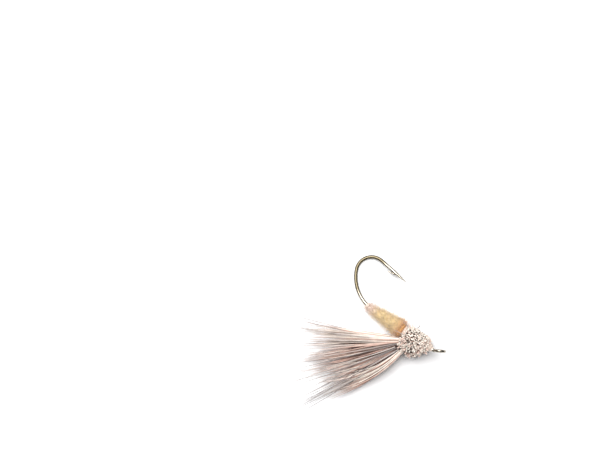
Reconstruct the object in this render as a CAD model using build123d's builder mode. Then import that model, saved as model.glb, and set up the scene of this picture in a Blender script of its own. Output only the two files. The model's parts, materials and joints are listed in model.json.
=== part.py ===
"""Deer-hair dry fly: a barbed hook with a dubbed body, a fan wing of deer hair and a spun, clipped hair head.

The fly lies on its side, as it does when it is put down, and rests on its hair collar, on the back of the
hook's bend and on its wing. The origin is the centre of the hook's eye, +Z is up from the table and +X runs
from the eye towards the bend.

The hook and what is wound round it are drawn in the fly's own plane. There x is the distance behind the eye
along the shank, y is positive on the fly's back, and the hook's gape is on the negative side of y.
"""

import os
from math import acos, atan2, cos, degrees, hypot, radians, sin, sqrt, tan

from build123d import *

os.makedirs("parts", exist_ok=True)

# Hook: millimetres and degrees.
wire_diameter = 0.52
eye_bore = 1.0  # clear diameter inside the eye
eye_wire = 0.44  # the wire is drawn thinner round the eye
eye_land = 0.05  # depth of the burnished land inside the eye
eye_turn_down = 30
neck_straight = 0.12  # wire between the eye's ring and the turn-down
neck_bend_radius = 0.4
shank_length = 11.3  # from the eye's centre to the start of the bend
bend_radius_rear = 5.94
bend_sweep_rear = 67
bend_radius_front = 2.25
bend_sweep_front = 121
spear_length = 4.8  # straight wire from the bend to the tip of the point
point_length = 2.1
point_tip_diameter = 0.05
barb_root_from_point = 2.05
barb_tip_from_point = 3.2  # it points back to the bend
barb_height = 0.32  # above the surface of the wire
barb_thickness = 0.18

# Thread.
thread_diameter = 0.10
thread_layer = 0.09  # thickness of the flat layer that covers the shank
snug = 0.005  # gap between pieces that are wound on each other
thread_start = 1.0  # behind the eye
tie_in_turns = 4
tie_down_turns = 6
tie_down_radius = 0.85
lashing_turns = 2
lashing_radius = 0.62
whip_turns = 6
thread_head_radius_front = 0.50
thread_head_radius_rear = 0.72
cement_thickness = 0.04

# Body, dubbed on the thread from the bend to the turns behind the collar.
body_front_radius = 1.28
body_shoulder = 0.35
body_rear_radius = 0.46
body_rear_on_bend = 0.9  # past the start of the bend, along the wire

# Head: hair spun round the shank and clipped to a bullet that is widest at the collar and flat underneath.
head_front = 1.85
head_front_radius = 1.15
head_nose_round = 0.35
clump_joint_front = 2.9
clump_joint_rear = 4.0
collar_at = 4.85
collar_radius = 2.45
collar_rear = 5.4
belly_trim = 1.05  # from the shank's axis to the flat underneath

# Wing: bunches of deer hair that fan out behind the collar, over the fly's back.
bunch_names = ["inner", "inner_middle", "middle", "outer_middle", "outer"]
wing_edge_angle = 27  # from the shank to the inner edge of the wing
wing_bunch_angle = 8.0
wing_apex_forward = 1.55  # from the collar's rear to where the bunches would meet
wing_body_clearance = 0.08
wing_gap = 0.05  # between neighbouring bunches
wing_table_gap = 0.12
wing_root_at = 1.3  # distances from the apex; the root is inside the collar
wing_fill_at = 5.5
wing_core_at = 12.2
wing_tip_at = 16.8
wing_root_height = 2.2
wing_fill_height = 2.9
wing_core_height = 3.0
wing_tip_height = 0.5
wing_tip_width = 0.8
wing_tip_centre = 1.4  # above the table

# Long guard hairs that lie over the wing, and short hairs that flare out of the collar.
hair_root_radius = 0.07
hair_middle_radius = 0.06
hair_tip_radius = 0.025
hair_sides = 6
stagger_step = 2.4  # radians between neighbours, so that lengths look unordered
guard_hair_count = 12
guard_angle_inner = 20
guard_angle_outer = 60
guard_reach_inner = 21.2  # from the wing's apex to the tips
guard_reach_outer = 18.6
guard_hair_stagger = 0.14  # share by which the shortest falls short of the longest
guard_hair_clearance = 0.30
guard_root_inner = 94  # round the shank, up from the back
guard_root_outer = 44
flare_hair_count = 9
flare_hair_length = 2.4
flare_hair_stagger = 0.35
flare_hair_lean = 24  # back from square to the shank
flare_angle_low = -24  # round the shank, up from the belly
flare_angle_high = 84

# Where the wire runs. The bend is two arcs, and the spear leaves them pointing back at the eye.
wire_radius = wire_diameter / 2
eye_ring_radius = (eye_bore + eye_wire) / 2 - eye_land
neck_length = eye_ring_radius + neck_straight
eye_drop = neck_length * sin(radians(eye_turn_down))
neck_corner = neck_length * cos(radians(eye_turn_down))
rear_turn = radians(bend_sweep_rear)
full_turn = radians(bend_sweep_rear + bend_sweep_front)
bend_centre_x = shank_length + (bend_radius_rear - bend_radius_front) * sin(rear_turn)
bend_centre_y = -bend_radius_rear + (bend_radius_rear - bend_radius_front) * cos(rear_turn)
bend_back = bend_centre_x + bend_radius_front
spear_start_x = bend_centre_x + bend_radius_front * sin(full_turn)
spear_start_y = bend_centre_y + bend_radius_front * cos(full_turn)
spear_heading = (cos(full_turn), -sin(full_turn))
taper_start_x = spear_start_x + (spear_length - point_length) * spear_heading[0]
taper_start_y = spear_start_y + (spear_length - point_length) * spear_heading[1]

# The lean of the shank when the collar's rounded rear and the back of the bend both touch the table.
collar_round = collar_rear - collar_at
collar_inner = collar_radius - collar_round
span = bend_back - collar_at
lean = acos((wire_radius - collar_round) / hypot(span, collar_inner)) - atan2(span, collar_inner)
table = -bend_back * sin(lean) - wire_radius

fly = Plane(
    origin=(0, eye_drop, 0),
    x_dir=(cos(lean), 0, -sin(lean)),
    z_dir=(sin(lean), 0, cos(lean)),
)
shank_axis = Axis(fly.origin, fly.x_dir)
wound_radius = wire_radius + thread_layer + 2 * snug
body_front = collar_rear + tie_down_turns * thread_diameter + 2 * snug


def heading(x, y):
    """A direction of the fly's plane."""
    return fly.x_dir * x + fly.y_dir * y


def across(x, y, along=(1, 0)):
    """The plane square to a direction, at a point of the fly's plane."""
    return Plane(fly.from_local_coords(Vector(x, y, 0)), x_dir=fly.z_dir, z_dir=heading(*along))


def on_bend(distance):
    """The plane that follows the wire at a distance past the start of the bend, with its x along the wire."""
    turn = distance / bend_radius_rear
    place = Vector(
        shank_length + bend_radius_rear * sin(turn),
        bend_radius_rear * (cos(turn) - 1),
        0,
    )
    return Plane(fly.from_local_coords(place), x_dir=heading(cos(turn), -sin(turn)), z_dir=fly.z_dir)


def square_to(plane):
    """The plane square to the x axis of a plane, at its origin."""
    return Plane(plane.origin, x_dir=plane.z_dir, z_dir=plane.x_dir)


def wire_path(start, distance):
    """The wire's centreline from a place on the shank to a distance past the start of the bend."""
    with BuildLine(fly) as path:
        Line((start, 0), (shank_length, 0))
        turn = degrees(distance / bend_radius_rear)
        CenterArc((shank_length, -bend_radius_rear), bend_radius_rear, 90, -turn)
    return path.wires()[0]


def write(piece, label):
    """Name a finished piece and write it."""
    piece.part.label = label
    export_step(piece.part, f"parts/{label}.step")


# The hook: eye, neck, shank, bend, spear, point and barb are one wire.
eye_turn = radians(eye_turn_down)
neck_direction = heading(cos(eye_turn), sin(eye_turn))
eye_axis = heading(-sin(eye_turn), cos(eye_turn))
neck_section = Plane(neck_direction * eye_ring_radius, x_dir=fly.z_dir, z_dir=neck_direction)
taper_plane = across(taper_start_x, taper_start_y, spear_heading)
spear = Plane(
    fly.from_local_coords(Vector(spear_start_x, spear_start_y, 0)),
    x_dir=heading(*spear_heading),
    z_dir=-fly.z_dir,
)
with BuildPart() as hook:
    with BuildLine(fly) as wire_line:
        FilletPolyline(
            (neck_corner - neck_straight * cos(eye_turn), -neck_straight * sin(eye_turn)),
            (neck_corner, 0),
            (shank_length, 0),
            radius=neck_bend_radius,
        )
        CenterArc((shank_length, -bend_radius_rear), bend_radius_rear, 90, -bend_sweep_rear)
        CenterArc((bend_centre_x, bend_centre_y), bend_radius_front, 90 - bend_sweep_rear, -bend_sweep_front)
        Line((spear_start_x, spear_start_y), (taper_start_x, taper_start_y))
    with BuildSketch(neck_section):
        Circle(wire_radius)
    sweep(path=wire_line.wires()[0])
    # The point is a long cone, and the barb is cut up from the side of the spear that faces the shank.
    with BuildSketch(taper_plane):
        Circle(wire_radius)
    with BuildSketch(taper_plane.offset(point_length)):
        Circle(point_tip_diameter / 2)
    loft()
    with BuildSketch(spear):
        with BuildLine():
            Polyline(
                (spear_length - barb_root_from_point, 0),
                (spear_length - barb_tip_from_point, wire_radius + barb_height),
                (spear_length - barb_tip_from_point + barb_height, wire_radius / 2),
                (spear_length - barb_tip_from_point + barb_height, 0),
                close=True,
            )
        make_face()
    extrude(amount=barb_thickness / 2, both=True)
    # The eye is a ring with a burnished cylindrical land where the leader bears.
    with BuildSketch(Plane((0, 0, 0), x_dir=neck_direction, z_dir=fly.z_dir)):
        with Locations((eye_ring_radius, 0)):
            Circle(eye_wire / 2)
    revolve(axis=Axis((0, 0, 0), eye_axis))
    with BuildSketch(Plane((0, 0, 0), x_dir=neck_direction, z_dir=eye_axis)):
        Circle(eye_bore / 2)
    extrude(amount=wire_diameter, both=True, mode=Mode.SUBTRACT)
write(hook, "hook")

# The flat layer of thread that covers the shank and gives the hair its grip.
with BuildPart() as shank_thread_base:
    with BuildSketch(across(thread_start, 0)):
        Circle(wire_radius + snug + thread_layer)
        Circle(wire_radius + snug, mode=Mode.SUBTRACT)
    sweep(path=wire_path(thread_start, body_rear_on_bend))
write(shank_thread_base, "shank_thread_base")


def wound_band(plane, front, turns, bore, radius_front, radius_rear):
    """Turns of thread side by side round the x axis of a plane, as one band with a crest to each turn."""
    rise = (radius_rear - radius_front) / turns
    with BuildPart() as band:
        with BuildSketch(plane):
            with BuildLine():
                Polyline(
                    (front, radius_front),
                    (front, bore),
                    (front + turns * thread_diameter, bore),
                    (front + turns * thread_diameter, radius_rear),
                )
                for turn in range(turns):
                    start = front + turn * thread_diameter
                    radius = radius_front + turn * rise
                    ThreePointArc(
                        (start, radius),
                        (start + thread_diameter / 2, radius + (rise + thread_diameter) / 2),
                        (start + thread_diameter, radius + rise),
                    )
            make_face()
        revolve(axis=Axis(plane.origin, plane.x_dir))
    return band


# The turns that tie in the thread on the bend, behind the body. They lie on the bare wire.
tie_in_plane = on_bend(body_rear_on_bend + snug)
with BuildPart() as rear_tie_in_wraps:
    tie_in_radius = wire_radius + thread_diameter / 2
    add(wound_band(tie_in_plane, 0, tie_in_turns, wire_radius / 2, tie_in_radius, tie_in_radius).part)
    with BuildSketch(across(body_front, 0)):
        Circle(wire_radius + snug)
    sweep(path=wire_path(body_front, 2 * body_rear_on_bend), mode=Mode.SUBTRACT)
write(rear_tie_in_wraps, "rear_tie_in_wraps")

# The body: a carrot of dubbing that follows the wire on to the bend and swells towards the wing.
taper = (body_front_radius - body_rear_radius) / (shank_length + body_rear_on_bend - body_front)
bend_start_radius = body_rear_radius + taper * body_rear_on_bend
with BuildPart() as abdomen_dubbing:
    with BuildSketch(fly):
        with BuildLine():
            Polyline(
                (body_front, body_front_radius - body_shoulder),
                (body_front, 0),
                (shank_length, 0),
                (shank_length, bend_start_radius),
                (body_front + body_shoulder, body_front_radius),
            )
            RadiusArc(
                (body_front, body_front_radius - body_shoulder),
                (body_front + body_shoulder, body_front_radius),
                body_shoulder,
            )
        make_face()
    revolve(axis=shank_axis)
    for share in (0, 0.5, 1):
        with BuildSketch(square_to(on_bend(share * body_rear_on_bend))):
            Circle(bend_start_radius + share * (body_rear_radius - bend_start_radius))
    loft()
    with BuildSketch(across(body_front - snug, 0)):
        Circle(wound_radius)
    sweep(path=wire_path(body_front - snug, body_rear_on_bend + snug), mode=Mode.SUBTRACT)
write(abdomen_dubbing, "abdomen_dubbing")

# The turns that lock the hair behind the collar, on a pad of the hair's own butts.
wing_tie_down_wraps = wound_band(
    fly, collar_rear + snug, tie_down_turns, wound_radius, tie_down_radius, tie_down_radius
)
write(wing_tie_down_wraps, "wing_tie_down_wraps")

# The head's outline is one arc that is level at the collar.
head_rise = collar_radius - head_front_radius
head_arc = ((collar_at - head_front) ** 2 + head_rise**2) / (2 * head_rise)
lashing_width = lashing_turns * thread_diameter
notch = lashing_width / 2 + snug


def outline(x):
    """The clipped head's radius at a distance behind the eye."""
    return collar_radius - head_arc + sqrt(head_arc**2 - (collar_at - x) ** 2)


def clipped_clump(front, rear):
    """A clump of spun hair between two places on the shank, pinched where the lashings bite into it."""
    middle = (front + rear) / 2
    with BuildPart() as clump:
        with BuildSketch(fly):
            with BuildLine():
                Polyline(
                    (front, outline(front)),
                    (front, wound_radius),
                    (rear, wound_radius),
                    (rear, outline(rear)),
                )
                ThreePointArc((front, outline(front)), (middle, outline(middle)), (rear, outline(rear)))
            make_face()
        revolve(axis=shank_axis)
        add(lashing_room.part, mode=Mode.SUBTRACT)
    return clump


with BuildPart() as lashing_room:
    for joint in (clump_joint_front, clump_joint_rear):
        with BuildSketch(across(joint - notch, 0)):
            Circle(lashing_radius + thread_diameter / 2 + snug)
        extrude(amount=2 * notch)

# What is clipped away to leave the head flat underneath.
with BuildPart() as belly_room:
    with BuildSketch(fly):
        with Locations(((head_front + collar_rear) / 2, -belly_trim - collar_radius)):
            Rectangle(2 * (collar_rear - head_front), 2 * collar_radius)
    extrude(amount=2 * collar_radius, both=True)

with BuildPart() as head_clump_front:
    add(clipped_clump(head_front, clump_joint_front - snug).part)
    front_edges = head_clump_front.edges().filter_by(GeomType.CIRCLE).group_by(shank_axis)[0]
    fillet(front_edges.sort_by(SortBy.RADIUS)[-1], head_nose_round)
    add(belly_room.part, mode=Mode.SUBTRACT)
write(head_clump_front, "head_clump_front")

with BuildPart() as head_clump_rear:
    add(clipped_clump(clump_joint_front, clump_joint_rear - snug).part)
    add(belly_room.part, mode=Mode.SUBTRACT)
write(head_clump_rear, "head_clump_rear")

for label, joint in (("lashing_front", clump_joint_front), ("lashing_rear", clump_joint_rear)):
    lashing = wound_band(
        fly, joint - lashing_width / 2, lashing_turns, wound_radius, lashing_radius, lashing_radius
    )
    write(lashing, label)

# The collar: the longest butts, left proud behind the head and rounded over to the rear.
with BuildPart() as collar_butts:
    with BuildSketch(fly):
        with BuildLine():
            collar_front = (clump_joint_rear, outline(clump_joint_rear))
            collar_middle = (clump_joint_rear + collar_at) / 2
            Polyline(
                collar_front,
                (clump_joint_rear, wound_radius),
                (collar_rear, wound_radius),
                (collar_rear, collar_inner),
            )
            CenterArc((collar_at, collar_inner), collar_round, 0, 90)
            ThreePointArc((collar_at, collar_radius), (collar_middle, outline(collar_middle)), collar_front)
        make_face()
    revolve(axis=shank_axis)
    add(lashing_room.part, mode=Mode.SUBTRACT)
    add(belly_room.part, mode=Mode.SUBTRACT)
write(collar_butts, "collar_butts")

# The wing. Each bunch is a long lens that leaves the collar and stands on edge above the table.
wing_edge = radians(wing_edge_angle)
apex_x = (collar_rear - wing_apex_forward) * cos(lean)
apex_y = eye_drop + max(
    body_front_radius + wing_body_clearance
    - ((body_front + body_shoulder) * cos(lean) - apex_x) * tan(wing_edge),
    tie_down_radius + thread_diameter + wing_body_clearance
    - ((collar_rear + snug) * cos(lean) - apex_x) * tan(wing_edge),
)
bunch_spread = tan(radians(wing_bunch_angle / 2))
root_centre = -table - collar_rear * sin(lean)
fill_centre = wing_table_gap + wing_fill_height / 2
core_centre = wing_table_gap + wing_core_height / 2
bunch_stations = [
    (wing_root_at, 2 * wing_root_at * bunch_spread - wing_gap, wing_root_height, root_centre),
    (wing_fill_at, 2 * wing_fill_at * bunch_spread - wing_gap, wing_fill_height, fill_centre),
    (wing_core_at, 2 * wing_core_at * bunch_spread - wing_gap, wing_core_height, core_centre),
    (wing_tip_at, wing_tip_width, wing_tip_height, wing_tip_centre),
]


def wing_plane(angle, distance, above_table):
    """The upright plane square to a ray of the wing, at a distance from the wing's apex."""
    ray = Vector(cos(angle), sin(angle), 0)
    place = Vector(apex_x, apex_y, table + above_table) + ray * distance
    return Plane(place, x_dir=(-sin(angle), cos(angle), 0), z_dir=ray)


with BuildPart() as collar_room:
    with BuildSketch(fly):
        with BuildLine():
            Polyline(
                (collar_at, collar_radius + snug),
                (clump_joint_rear, collar_radius + snug),
                (clump_joint_rear, 0),
                (collar_rear + snug, 0),
                (collar_rear + snug, collar_inner),
            )
            CenterArc((collar_at, collar_inner), collar_round + snug, 0, 90)
        make_face()
    revolve(axis=shank_axis)

for place, name in enumerate(bunch_names):
    bunch_angle = wing_edge + radians((place + 0.5) * wing_bunch_angle)
    with BuildPart() as bunch:
        for distance, width, height, centre in bunch_stations:
            with BuildSketch(wing_plane(bunch_angle, distance, centre)):
                Ellipse(width / 2, height / 2)
        loft(ruled=True)
        add(collar_room.part, mode=Mode.SUBTRACT)
    write(bunch, f"wing_bunch_{name}")


def hair(points, radii):
    """A tapered hair through a few points, six-sided like a rolled fibre."""
    headings = [(after - before).normalized() for before, after in zip(points, points[1:])]
    headings.append(headings[-1])
    with BuildPart() as strand:
        for point, along, radius in zip(points, headings, radii):
            with BuildSketch(Plane(point, x_dir=along.cross(Vector(0, 0, 1)), z_dir=along)):
                RegularPolygon(radius, hair_sides)
        loft(ruled=True)
    return strand.part


# Guard hairs start on the collar, lie over the wing and reach past its ends.
wing_top = max(height / 2 + centre for _, _, height, centre in bunch_stations)
guard_hairs = []
for count in range(guard_hair_count):
    share = count / (guard_hair_count - 1)
    angle = radians(guard_angle_inner + share * (guard_angle_outer - guard_angle_inner))
    root_angle = radians(guard_root_inner + share * (guard_root_outer - guard_root_inner))
    full_reach = guard_reach_inner + share * (guard_reach_outer - guard_reach_inner)
    reach = full_reach * (1 - guard_hair_stagger * sin(stagger_step * count) ** 2)
    root_radius = collar_radius + hair_root_radius + snug
    root = fly.from_local_coords(
        Vector(collar_at, root_radius * cos(root_angle), root_radius * sin(root_angle))
    )
    crown = wing_plane(angle, wing_core_at, wing_top + guard_hair_clearance).origin
    tip = wing_plane(angle, reach, wing_tip_centre).origin
    guard_hairs.append(hair([root, crown, tip], [hair_root_radius, hair_middle_radius, hair_tip_radius]))
with BuildPart() as guard_hairs_wing:
    add(guard_hairs)
write(guard_hairs_wing, "guard_hairs_wing")

# Short hairs that escaped the clipping stand out of the collar, off the flat underneath or beside it.
flare_hairs = []
flare_lean = radians(flare_hair_lean)
for count in range(flare_hair_count):
    share = count / (flare_hair_count - 1)
    around = radians(flare_angle_low + share * (flare_angle_high - flare_angle_low))
    outward = Vector(0, -cos(around), sin(around))
    direction = outward * cos(flare_lean) + Vector(sin(flare_lean), 0, 0)
    skin = min(collar_radius, (belly_trim + hair_root_radius) / cos(around))
    root = outward * (skin + snug + hair_root_radius * sin(flare_lean)) + Vector(collar_at, 0, 0)
    length = flare_hair_length * (1 - flare_hair_stagger * sin(stagger_step * count) ** 2)
    ends = [fly.from_local_coords(root), fly.from_local_coords(root + direction * length)]
    flare_hairs.append(hair(ends, [hair_root_radius, hair_tip_radius]))
with BuildPart() as guard_hairs_collar:
    add(flare_hairs)
write(guard_hairs_collar, "guard_hairs_collar")

# The whip-finished thread head in front of the hair, and its coat of lacquer.
head_length = whip_turns * thread_diameter
thread_head_front = head_front - snug - head_length
thread_head = wound_band(
    fly, thread_head_front, whip_turns, wound_radius, thread_head_radius_front, thread_head_radius_rear
)
write(thread_head, "thread_head")

coat_front = thread_head_front - snug
coat_radius_front = thread_head_radius_front + thread_diameter / 2 + 2 * snug
coat_radius_rear = thread_head_radius_rear + thread_diameter / 2 + 2 * snug
with BuildPart() as head_cement:
    with BuildSketch(fly):
        with BuildLine():
            Polyline(
                (coat_front - cement_thickness, wound_radius),
                (coat_front, wound_radius),
                (coat_front, coat_radius_front),
                (head_front - snug, coat_radius_rear),
                (head_front - snug, coat_radius_rear + cement_thickness),
                (coat_front - cement_thickness, coat_radius_front + cement_thickness),
                close=True,
            )
        make_face()
    revolve(axis=shank_axis)
write(head_cement, "head_cement")
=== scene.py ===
"""The looks of a deer-hair dry fly: hair, fur, thread and wire, made round the fly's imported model."""

import json
import math

import bpy
from bpy.props import FloatProperty, FloatVectorProperty, IntProperty, PointerProperty
from bpy.types import Operator, Panel, PropertyGroup
from mathutils import Matrix, Vector, noise


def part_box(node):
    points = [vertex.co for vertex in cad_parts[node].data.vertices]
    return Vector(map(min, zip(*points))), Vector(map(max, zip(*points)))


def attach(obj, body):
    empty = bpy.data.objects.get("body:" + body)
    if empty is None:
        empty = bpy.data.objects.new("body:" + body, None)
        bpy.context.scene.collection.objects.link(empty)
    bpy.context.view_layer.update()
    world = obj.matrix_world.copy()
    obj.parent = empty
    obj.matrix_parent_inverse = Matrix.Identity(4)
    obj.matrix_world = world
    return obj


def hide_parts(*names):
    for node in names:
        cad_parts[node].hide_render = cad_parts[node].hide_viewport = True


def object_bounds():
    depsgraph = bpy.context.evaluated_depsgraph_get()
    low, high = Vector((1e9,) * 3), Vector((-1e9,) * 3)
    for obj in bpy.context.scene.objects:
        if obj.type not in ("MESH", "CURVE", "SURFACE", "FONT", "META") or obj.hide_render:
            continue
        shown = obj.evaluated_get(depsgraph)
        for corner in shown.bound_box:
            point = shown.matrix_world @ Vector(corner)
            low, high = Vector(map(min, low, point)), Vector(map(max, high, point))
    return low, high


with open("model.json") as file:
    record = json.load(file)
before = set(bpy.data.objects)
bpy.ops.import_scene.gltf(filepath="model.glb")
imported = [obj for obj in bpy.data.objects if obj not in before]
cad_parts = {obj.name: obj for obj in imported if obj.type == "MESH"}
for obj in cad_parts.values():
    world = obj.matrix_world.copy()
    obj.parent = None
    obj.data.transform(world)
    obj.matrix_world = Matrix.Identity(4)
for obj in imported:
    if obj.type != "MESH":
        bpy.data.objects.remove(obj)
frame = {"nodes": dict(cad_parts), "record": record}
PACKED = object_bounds()

bl_info = {
    "name": "Deer-hair dry fly",
    "version": (1, 0, 0),
    "blender": (4, 5, 0),
    "location": "View3D > Sidebar > Dry fly",
    "description": "Ties a deer-hair dry fly round its packed model",
    "category": "Add Mesh",
}

MM = 0.001
DEGREE = math.radians(1)
BUNCHES = [f"wing_bunch_{place}" for place in ("inner", "inner_middle", "middle", "outer_middle", "outer")]
# Distances from the wing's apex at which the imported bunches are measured.
WING_ROOT, WING_CORE, WING_TIP = 1.9 * MM, 12.0 * MM, 16.6 * MM


# --- Where things are ---


def fly_plane():
    """The fly's own frame, and the eye's turn: x back along the shank, y to its back, z out of its side."""
    eye = Vector(frame["record"]["mounts"][0]["axis"])
    lean = math.atan2(eye.z, -eye.x)
    low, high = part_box("thread_head")
    along = Vector((math.cos(lean), 0, -math.sin(lean)))
    across = Vector((math.sin(lean), 0, math.cos(lean)))
    place = Matrix((along, (0, 1, 0), across)).transposed().to_4x4()
    place.translation = Vector((0, (low.y + high.y) / 2, 0))
    return place, math.asin(math.hypot(eye.x, eye.z))


FLY, EYE_TURN = fly_plane()
ALONG_SHANK = FLY.to_3x3() @ Vector((1, 0, 0))
TO_THE_BACK = FLY.to_3x3() @ Vector((0, 1, 0))
TABLE = PACKED[0].z


def points_of(node, place=FLY):
    """The points of a CAD node, in the fly's frame or another."""
    back = place.inverted()
    return [back @ vertex.co for vertex in frame["nodes"][node].data.vertices]


def along_shank(node):
    """How far behind the eye a node starts and ends, and its largest radius round the shank."""
    points = points_of(node)
    reach = [point.x for point in points]
    return min(reach), max(reach), max(math.hypot(point.y, point.z) for point in points)


def ray_of(node):
    """The middle of a wing bunch's root and of its tip, in the row's frame."""
    points = points_of(node, Matrix.Identity(4))
    _, collar_rear, _ = along_shank("collar_butts")
    start = FLY @ Vector((collar_rear, 0, 0))
    points.sort(key=lambda point: (point - start).length)
    count = max(3, len(points) // 12)
    root = sum(points[:count], Vector()) / count
    tip = sum(points[-count:], Vector()) / count
    return root, tip


def wing_apex():
    """The place in plan where the middle lines of the first and the last bunch meet."""
    (root_a, tip_a), (root_b, tip_b) = ray_of(BUNCHES[0]), ray_of(BUNCHES[-1])
    way_a, way_b = tip_a - root_a, tip_b - root_b
    turn = way_a.x * way_b.y - way_a.y * way_b.x
    gap = root_b - root_a
    share = (gap.x * way_b.y - gap.y * way_b.x) / turn
    meeting = root_a + way_a * share
    return Vector((meeting.x, meeting.y, 0))


def depth_at(node, distance):
    """The middle height and the thickness of a wing bunch, at a distance from the wing's apex."""
    apex = wing_apex()
    near = []
    for point in points_of(node, Matrix.Identity(4)):
        if abs((point - apex).xy.length - distance) < 0.4 * MM:
            near.append(point.z)
    return (max(near) + min(near)) / 2, max(near) - min(near)


def angles_of(node):
    """The angles in plan, about the wing's apex, between which a wing bunch lies."""
    apex = wing_apex()
    turns = [math.atan2(*reversed((point - apex).xy)) for point in points_of(node, Matrix.Identity(4))]
    return min(turns), max(turns)


# --- Building node trees ---


class Recipe:
    """A node tree that is built by calls, each of which adds a node, feeds it and gives back an output."""

    def __init__(self, tree):
        self.tree = tree

    def add(self, kind, feeds=None, give=0, **settings):
        """Add a node of a kind, with its settings and its inputs by name or number."""
        node = self.tree.nodes.new(kind)
        for name, value in settings.items():
            setattr(node, name, value)
        for socket, value in (feeds or {}).items():
            if isinstance(value, bpy.types.NodeSocket):
                self.tree.links.new(value, node.inputs[socket])
            else:
                node.inputs[socket].default_value = value
        return node.outputs[give]

    def math(self, operation, *terms):
        """One step of arithmetic."""
        return self.add("ShaderNodeMath", dict(enumerate(terms)), operation=operation)

    def times(self, first, second):
        """A product."""
        return self.math("MULTIPLY", first, second)

    def plus(self, first, second):
        """A sum."""
        return self.math("ADD", first, second)

    def minus(self, first, second):
        """A difference."""
        return self.math("SUBTRACT", first, second)

    def vector(self, operation, *terms):
        """One step of vector arithmetic."""
        return self.add("ShaderNodeVectorMath", dict(enumerate(terms)), operation=operation)

    def stretch(self, way, length):
        """A vector times a number."""
        return self.add("ShaderNodeVectorMath", {0: way, "Scale": length}, operation="SCALE")

    def total(self, *vectors):
        """The sum of several vectors."""
        result = vectors[0]
        for vector in vectors[1:]:
            result = self.vector("ADD", result, vector)
        return result

    def ramp(self, value, low, high, to_low, to_high):
        """A value carried smoothly from one range to another, and held outside it."""
        feeds = {"Value": value, "From Min": low, "From Max": high, "To Min": to_low, "To Max": to_high}
        return self.add("ShaderNodeMapRange", feeds, interpolation_type="SMOOTHSTEP")

    def blend(self, share, first, second):
        """A number part of the way between two."""
        return self.add("ShaderNodeMix", {0: share, 2: first, 3: second}, data_type="FLOAT")

    def random(self, low, high, seed, shift, who=None):
        """A random number that stays with each fibre. The shift sets it apart from others of its seed."""
        feeds = {2: low, 3: high, "Seed": self.plus(seed, float(shift))}
        if who is not None:
            feeds["ID"] = who
        return self.add("FunctionNodeRandomValue", feeds, give=1, data_type="FLOAT")

    def random_way(self, seed, shift):
        """A random vector with no side longer than one."""
        feeds = {0: (-1, -1, -1), 1: (1, 1, 1), "Seed": self.plus(seed, float(shift))}
        return self.add("FunctionNodeRandomValue", feeds, give=0, data_type="FLOAT_VECTOR")

    def keep(self, geometry, name, value, domain="POINT"):
        """Store a number on the geometry for its material to read."""
        feeds = {"Geometry": geometry, "Name": name, "Value": value}
        return self.add("GeometryNodeStoreNamedAttribute", feeds, data_type="FLOAT", domain=domain)


SOCKETS = {float: "NodeSocketFloat", int: "NodeSocketInt", tuple: "NodeSocketVector"}


def geometry_tree(name, sizes, takes_surface):
    """A geometry tree with a named input for each size, the table's height and a material.

    Its Surface input, if it takes one, is the mesh to grow on. Nothing that it makes lies below the table.
    """
    tree = bpy.data.node_groups.new(name, "GeometryNodeTree")
    if takes_surface:
        tree.interface.new_socket("Surface", in_out="INPUT", socket_type="NodeSocketGeometry")
    for label, value in {**sizes, "Table": -1.0}.items():
        socket = tree.interface.new_socket(label, in_out="INPUT", socket_type=SOCKETS[type(value)])
        socket.default_value = value
    tree.interface.new_socket("Material", in_out="INPUT", socket_type="NodeSocketMaterial")
    tree.interface.new_socket("Geometry", in_out="OUTPUT", socket_type="NodeSocketGeometry")
    start = tree.nodes.new("NodeGroupInput").outputs
    recipe = Recipe(tree)

    def finish(geometry, smooth=True):
        """Shade, realize and paint the geometry, and keep it above the table."""
        shaded = recipe.add("GeometryNodeSetShadeSmooth", {"Geometry": geometry, "Shade Smooth": smooth})
        loose = recipe.add("GeometryNodeRealizeInstances", {"Geometry": shaded})
        parts = recipe.add("ShaderNodeSeparateXYZ", {0: recipe.add("GeometryNodeInputPosition")}).node.outputs
        level = recipe.math("MAXIMUM", parts["Z"], start["Table"])
        lifted = recipe.add("ShaderNodeCombineXYZ", {"X": parts["X"], "Y": parts["Y"], "Z": level})
        above = recipe.add("GeometryNodeSetPosition", {"Geometry": loose, "Position": lifted})
        real = recipe.add("GeometryNodeRealizeInstances", {"Geometry": above})
        painted = recipe.add("GeometryNodeSetMaterial", {"Geometry": real, "Material": start["Material"]})
        end = tree.nodes.new("NodeGroupOutput")
        tree.links.new(painted, end.inputs[0])
        return tree

    return recipe, start, finish


def tapered_fibres(recipe, curves, radius, tip_share, sides):
    """Give curves a round section that swells a little and then thins to a fine tip."""
    along = recipe.add("GeometryNodeSplineParameter")
    thinning = recipe.math("POWER", along, 2.2)
    width = recipe.blend(thinning, 1.0, tip_share)
    root = recipe.ramp(along, 0.0, 0.12, 0.72, 1.0)
    size = recipe.times(recipe.times(radius, width), root)
    marked = recipe.keep(curves, "along", along)
    ring = recipe.add("GeometryNodeCurvePrimitiveCircle", {"Resolution": sides, "Radius": 1.0})
    feeds = {"Curve": marked, "Profile Curve": ring, "Scale": size, "Fill Caps": True}
    return recipe.add("GeometryNodeCurveToMesh", feeds)


# --- Geometry trees ---


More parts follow.
